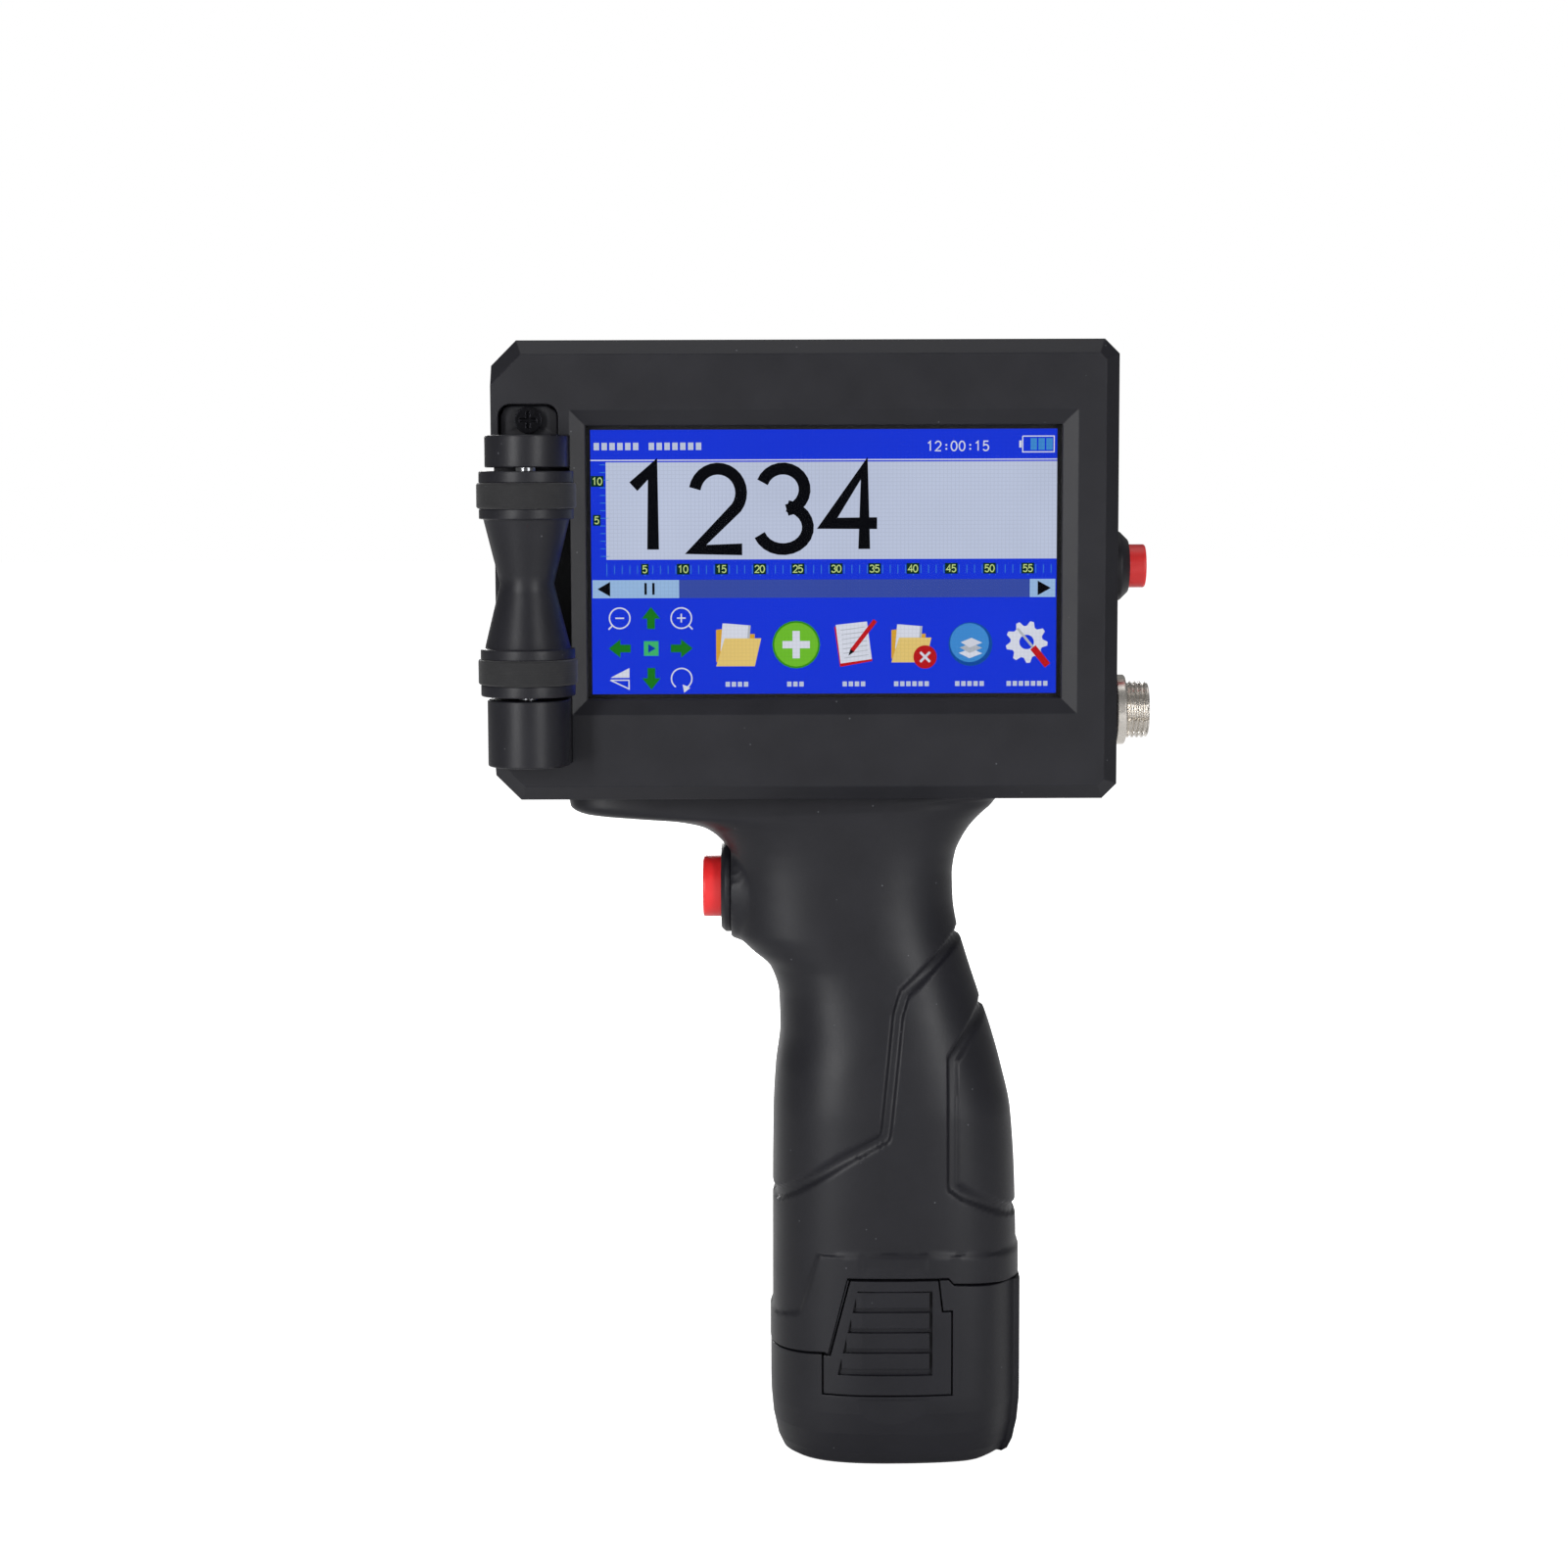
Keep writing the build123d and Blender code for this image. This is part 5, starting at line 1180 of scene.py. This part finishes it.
def play_sign(right, down):
    box_tile(right - 1.5, down - 1.5, 3.0, 3.0, PLAY_GREEN)
    tile(around(right, down, [(-0.6, -0.9), (-0.6, 0.9), (0.9, 0)]), PLAY_BLUE, 2)


def mirror_sign(right, down):
    tile(around(right, down, [(-2.0, -0.2), (1.9, -0.2), (1.9, -2.2)]), WHITE)
    stroke(around(right, down, [(-2.0, 0.3), (1.8, 0.3), (1.8, 2.1), (-2.0, 0.3)]), 0.26, WHITE)


def turn_sign(right, down):
    stroke(arc(right, down, SIGN_R, SIGN_R, -70, 235, 26), THIN, WHITE)
    tile(around(right, down, [(0.2, 1.2), (0.5, 2.9), (1.8, 1.9)]), WHITE, 2)


lens_sign(PAD_RIGHT[0], PAD_DOWN[0], False)
lens_sign(PAD_RIGHT[2], PAD_DOWN[0], True)
for column, row, quarter in ((1, 0, 0), (2, 1, 1), (1, 2, 2), (0, 1, 3)):
    arrow_sign(PAD_RIGHT[column], PAD_DOWN[row], quarter)
play_sign(PAD_RIGHT[1], PAD_DOWN[1])
mirror_sign(PAD_RIGHT[0], PAD_DOWN[2])
turn_sign(PAD_RIGHT[2], PAD_DOWN[2])
print(len(picture["faces"]), "faces with the small signs")

# %% [markdown]
# ## The row of larger signs
# Six signs in colour stand for opening, adding, editing, deleting, starting and settings, each
# over a row of blocks in place of its word. Their parts overlap, and faces that share a plane can
# flicker, so a part that covers most of another lies in a layer nearer the eye.

# %% Row of larger signs
SIGN_DOWN = 43.8
LABEL_DOWN = 51.4
RIM_GREEN = srgb(60, 150, 30)
RIM_BLUE = srgb(24, 84, 170)
TEETH = 9
TOOTH_R = 4.3
ROOT_R = 3.3


def folder_sign(right, down, size=4.4):
    back = [(-1, -0.7), (-1, 0.8), (0.8, 0.8), (0.8, -0.5), (0, -0.5), (-0.2, -0.8)]
    sheet = [(-0.7, -1.0), (-0.8, 0.3), (0.4, 0.4), (0.5, -0.9)]
    front = [(-0.6, -0.3), (-1, 1), (0.8, 1), (1.1, -0.3)]
    tile(around(right, down, back, size), YELLOW)
    tile(around(right, down, sheet, size), WHITE, 3)
    tile(around(right + 0.5, down, sheet, size), STEEL, 2)
    tile(around(right, down, front, size), CREAM, 4)


def add_sign(right, down):
    disc(right, down, 4.9, RIM_GREEN)
    disc(right, down, 4.5, LIME, 2)
    box_tile(right - 0.75, down - 2.8, 1.5, 5.6, WHITE, 3)
    box_tile(right - 2.8, down - 0.75, 5.6, 1.5, WHITE, 4)


def page_sign(right, down):
    tile(around(right, down, [(-4.2, -3.6), (-3.0, 4.6), (3.6, 3.4), (2.4, -4.6)]), RED)
    tile(around(right, down, [(-3.9, -4.0), (-2.9, 3.9), (3.5, 3.0), (2.5, -4.7)]), WHITE, 2)
    for number in range(7):
        line = around(right + number * 0.12, down + number * 0.95, [(-2.9, -2.9), (2.1, -3.6)])
        stroke(line, 0.16, STEEL, 3)
    stroke(around(right, down, [(4.2, -4.9), (-0.6, 1.3)]), 0.9, RED, 4)
    tile(around(right, down, [(-0.9, 0.9), (-1.3, 2.3), (-0.1, 1.5)]), BLACK, 4)


def delete_sign(right, down):
    folder_sign(right - 0.4, down - 0.2, 3.9)
    disc(right + 2.6, down + 2.6, 2.4, RED, 5)
    for layer, way in ((6, -1), (7, 1)):
        stroke(around(right + 2.6, down + 2.6, [(-1, -way), (1, way)]), 0.5, WHITE, layer)


def start_sign(right, down):
    disc(right, down, 4.5, RIM_BLUE)
    disc(right - 0.2, down - 0.3, 4.0, SKY, 2)
    for number, tint in enumerate((WHITE, STEEL, WHITE)):
        sheet = [(-2.4 + number * 0.2, 0), (-0.2, 1.1), (2.4, 0.1), (0.2, -0.9)]
        tile(around(right, down + 1.8 - number * 1.1, sheet), tint, 3 + number)


def settings_sign(right, down):
    outline = []
    for number in range(TEETH * 4):
        radius = TOOTH_R if number % 4 in (0, 1) else ROOT_R
        turn = tau * number / (TEETH * 4)
        outline.append((radius * cos(turn), radius * sin(turn)))
    tile(around(right - 0.3, down - 0.4, outline), WHITE)
    disc(right - 0.3, down - 0.4, 1.5, BLUE, 2)
    stroke(around(right, down, [(-2.2, -3.2), (1.2, 0.9)]), 0.5, STEEL, 3)
    stroke(around(right, down, [(1.0, 0.7), (4.0, 4.4)]), 1.4, RED, 4)


# each sign, how far right its centre is and the number of blocks under it
SIGNS = ((folder_sign, 29.8, 4), (add_sign, 41.8, 3), (page_sign, 53.8, 4), (delete_sign, 65.6, 6),
         (start_sign, 77.5, 5), (settings_sign, 89.3, 7))
for draw, right, blocks in SIGNS:
    draw(right, SIGN_DOWN)
for draw, right, blocks in SIGNS:
    word_blocks(right, LABEL_DOWN, blocks)


def screen_picture():
    made = piece("screen_picture", picture["points"], picture["faces"], "screen_module", "housing",
                 lit_picture())
    made.data.polygons.foreach_set("use_smooth", [False] * len(made.data.polygons))
    colours = made.data.attributes.new(PICTURE_COLOUR, "FLOAT_COLOR", "FACE")
    colours.data.foreach_set("color", [value for tint in picture["tints"] for value in tint])
    return made


print("picture of", len(screen_picture().data.polygons), "faces")

# %% [markdown]
# ## Floor and light
# A product shot of black plastic is lit with large soft boxes, because small lamps would leave
# hard dots on the grain. One box behind the camera would wash out the flat head, which faces it
# like a mirror. So two tall ones stand left and right of it and draw long highlights down the grip,
# a weak one above picks out the top edges, and one behind lights the back for the other views. The
# floor and the room look white, but most of that glow is only for the camera: all of it on the
# plastic would turn the black to grey.

# %% Studio
FLOOR_HALF = 6.0
FLOOR_GLOW = 0.9
FLOOR_DROP = 0.2
ROOM = 0.22
LIT = (1, 1, 1, 1)
# place, aim, and width and height in metres, then watts
SOFT_BOXES = {
    "key_light": ((-0.62, -0.95, 0.3), (0, 0, 0.1), (0.22, 0.7), 7.0),
    "fill_light": ((0.62, -0.95, 0.3), (0, 0, 0.1), (0.22, 0.7), 5.5),
    "top_light": ((-0.1, 0.05, 0.95), (0, 0, 0.15), (0.7, 0.7), 1.6),
    "back_light": ((-0.3, 1.1, 0.55), (0, 0, 0.12), (0.5, 0.6), 9.0),
}


def studio_floor():
    finish = Finish("studio_floor", {"Roughness": 0.7, "Emission Strength": FLOOR_GLOW})
    grain = finish.noise(40.0)
    seen = finish.node("LightPath", output="Is Camera Ray")
    finish.set({"Base Color": finish.mix(grain * 0.1, srgb(250, 250, 250), srgb(240, 240, 241)),
                "Emission Color": finish.mix(seen, UNLIT, LIT)})
    mesh = bpy.data.meshes.new("studio_floor")
    corners = [(x * FLOOR_HALF, y * FLOOR_HALF, 0) for x, y in ((-1, -1), (1, -1), (1, 1), (-1, 1))]
    mesh.from_pydata(corners, [], [(0, 1, 2, 3)])
    mesh.materials.append(finish.material)
    floor = bpy.data.objects.new("studio_floor", mesh)
    bpy.context.collection.objects.link(floor)
    floor.location.z = -FLOOR_DROP * MM


def soft_box(name, place, target, size, watts):
    lamp = bpy.data.lights.new(name, "AREA")
    lamp.shape = "RECTANGLE"
    lamp.size, lamp.size_y = size
    lamp.energy = watts
    made = bpy.data.objects.new(name, lamp)
    bpy.context.collection.objects.link(made)
    made.location = place
    made.rotation_euler = (Vector(target) - Vector(place)).to_track_quat("-Z", "Y").to_euler()


def white_room():
    world = bpy.data.worlds.new("white_room")
    world.use_nodes = True
    room = NodeTree(world.node_tree)
    seen = room.node("LightPath", output="Is Camera Ray")
    dim = room.node("Background", sockets={"Color": LIT, "Strength": ROOM})
    paper = room.node("Background", sockets={"Color": LIT})
    either = room.node("MixShader", sockets={0: seen, 1: dim, 2: paper})
    room.plug(world.node_tree.nodes["World Output"].inputs["Surface"], either)
    bpy.context.scene.world = world


studio_floor()
white_room()
for name, (place, target, size, watts) in SOFT_BOXES.items():
    soft_box(name, place, target, size, watts)
print("studio is lit by", len(bpy.data.lights), "soft boxes")
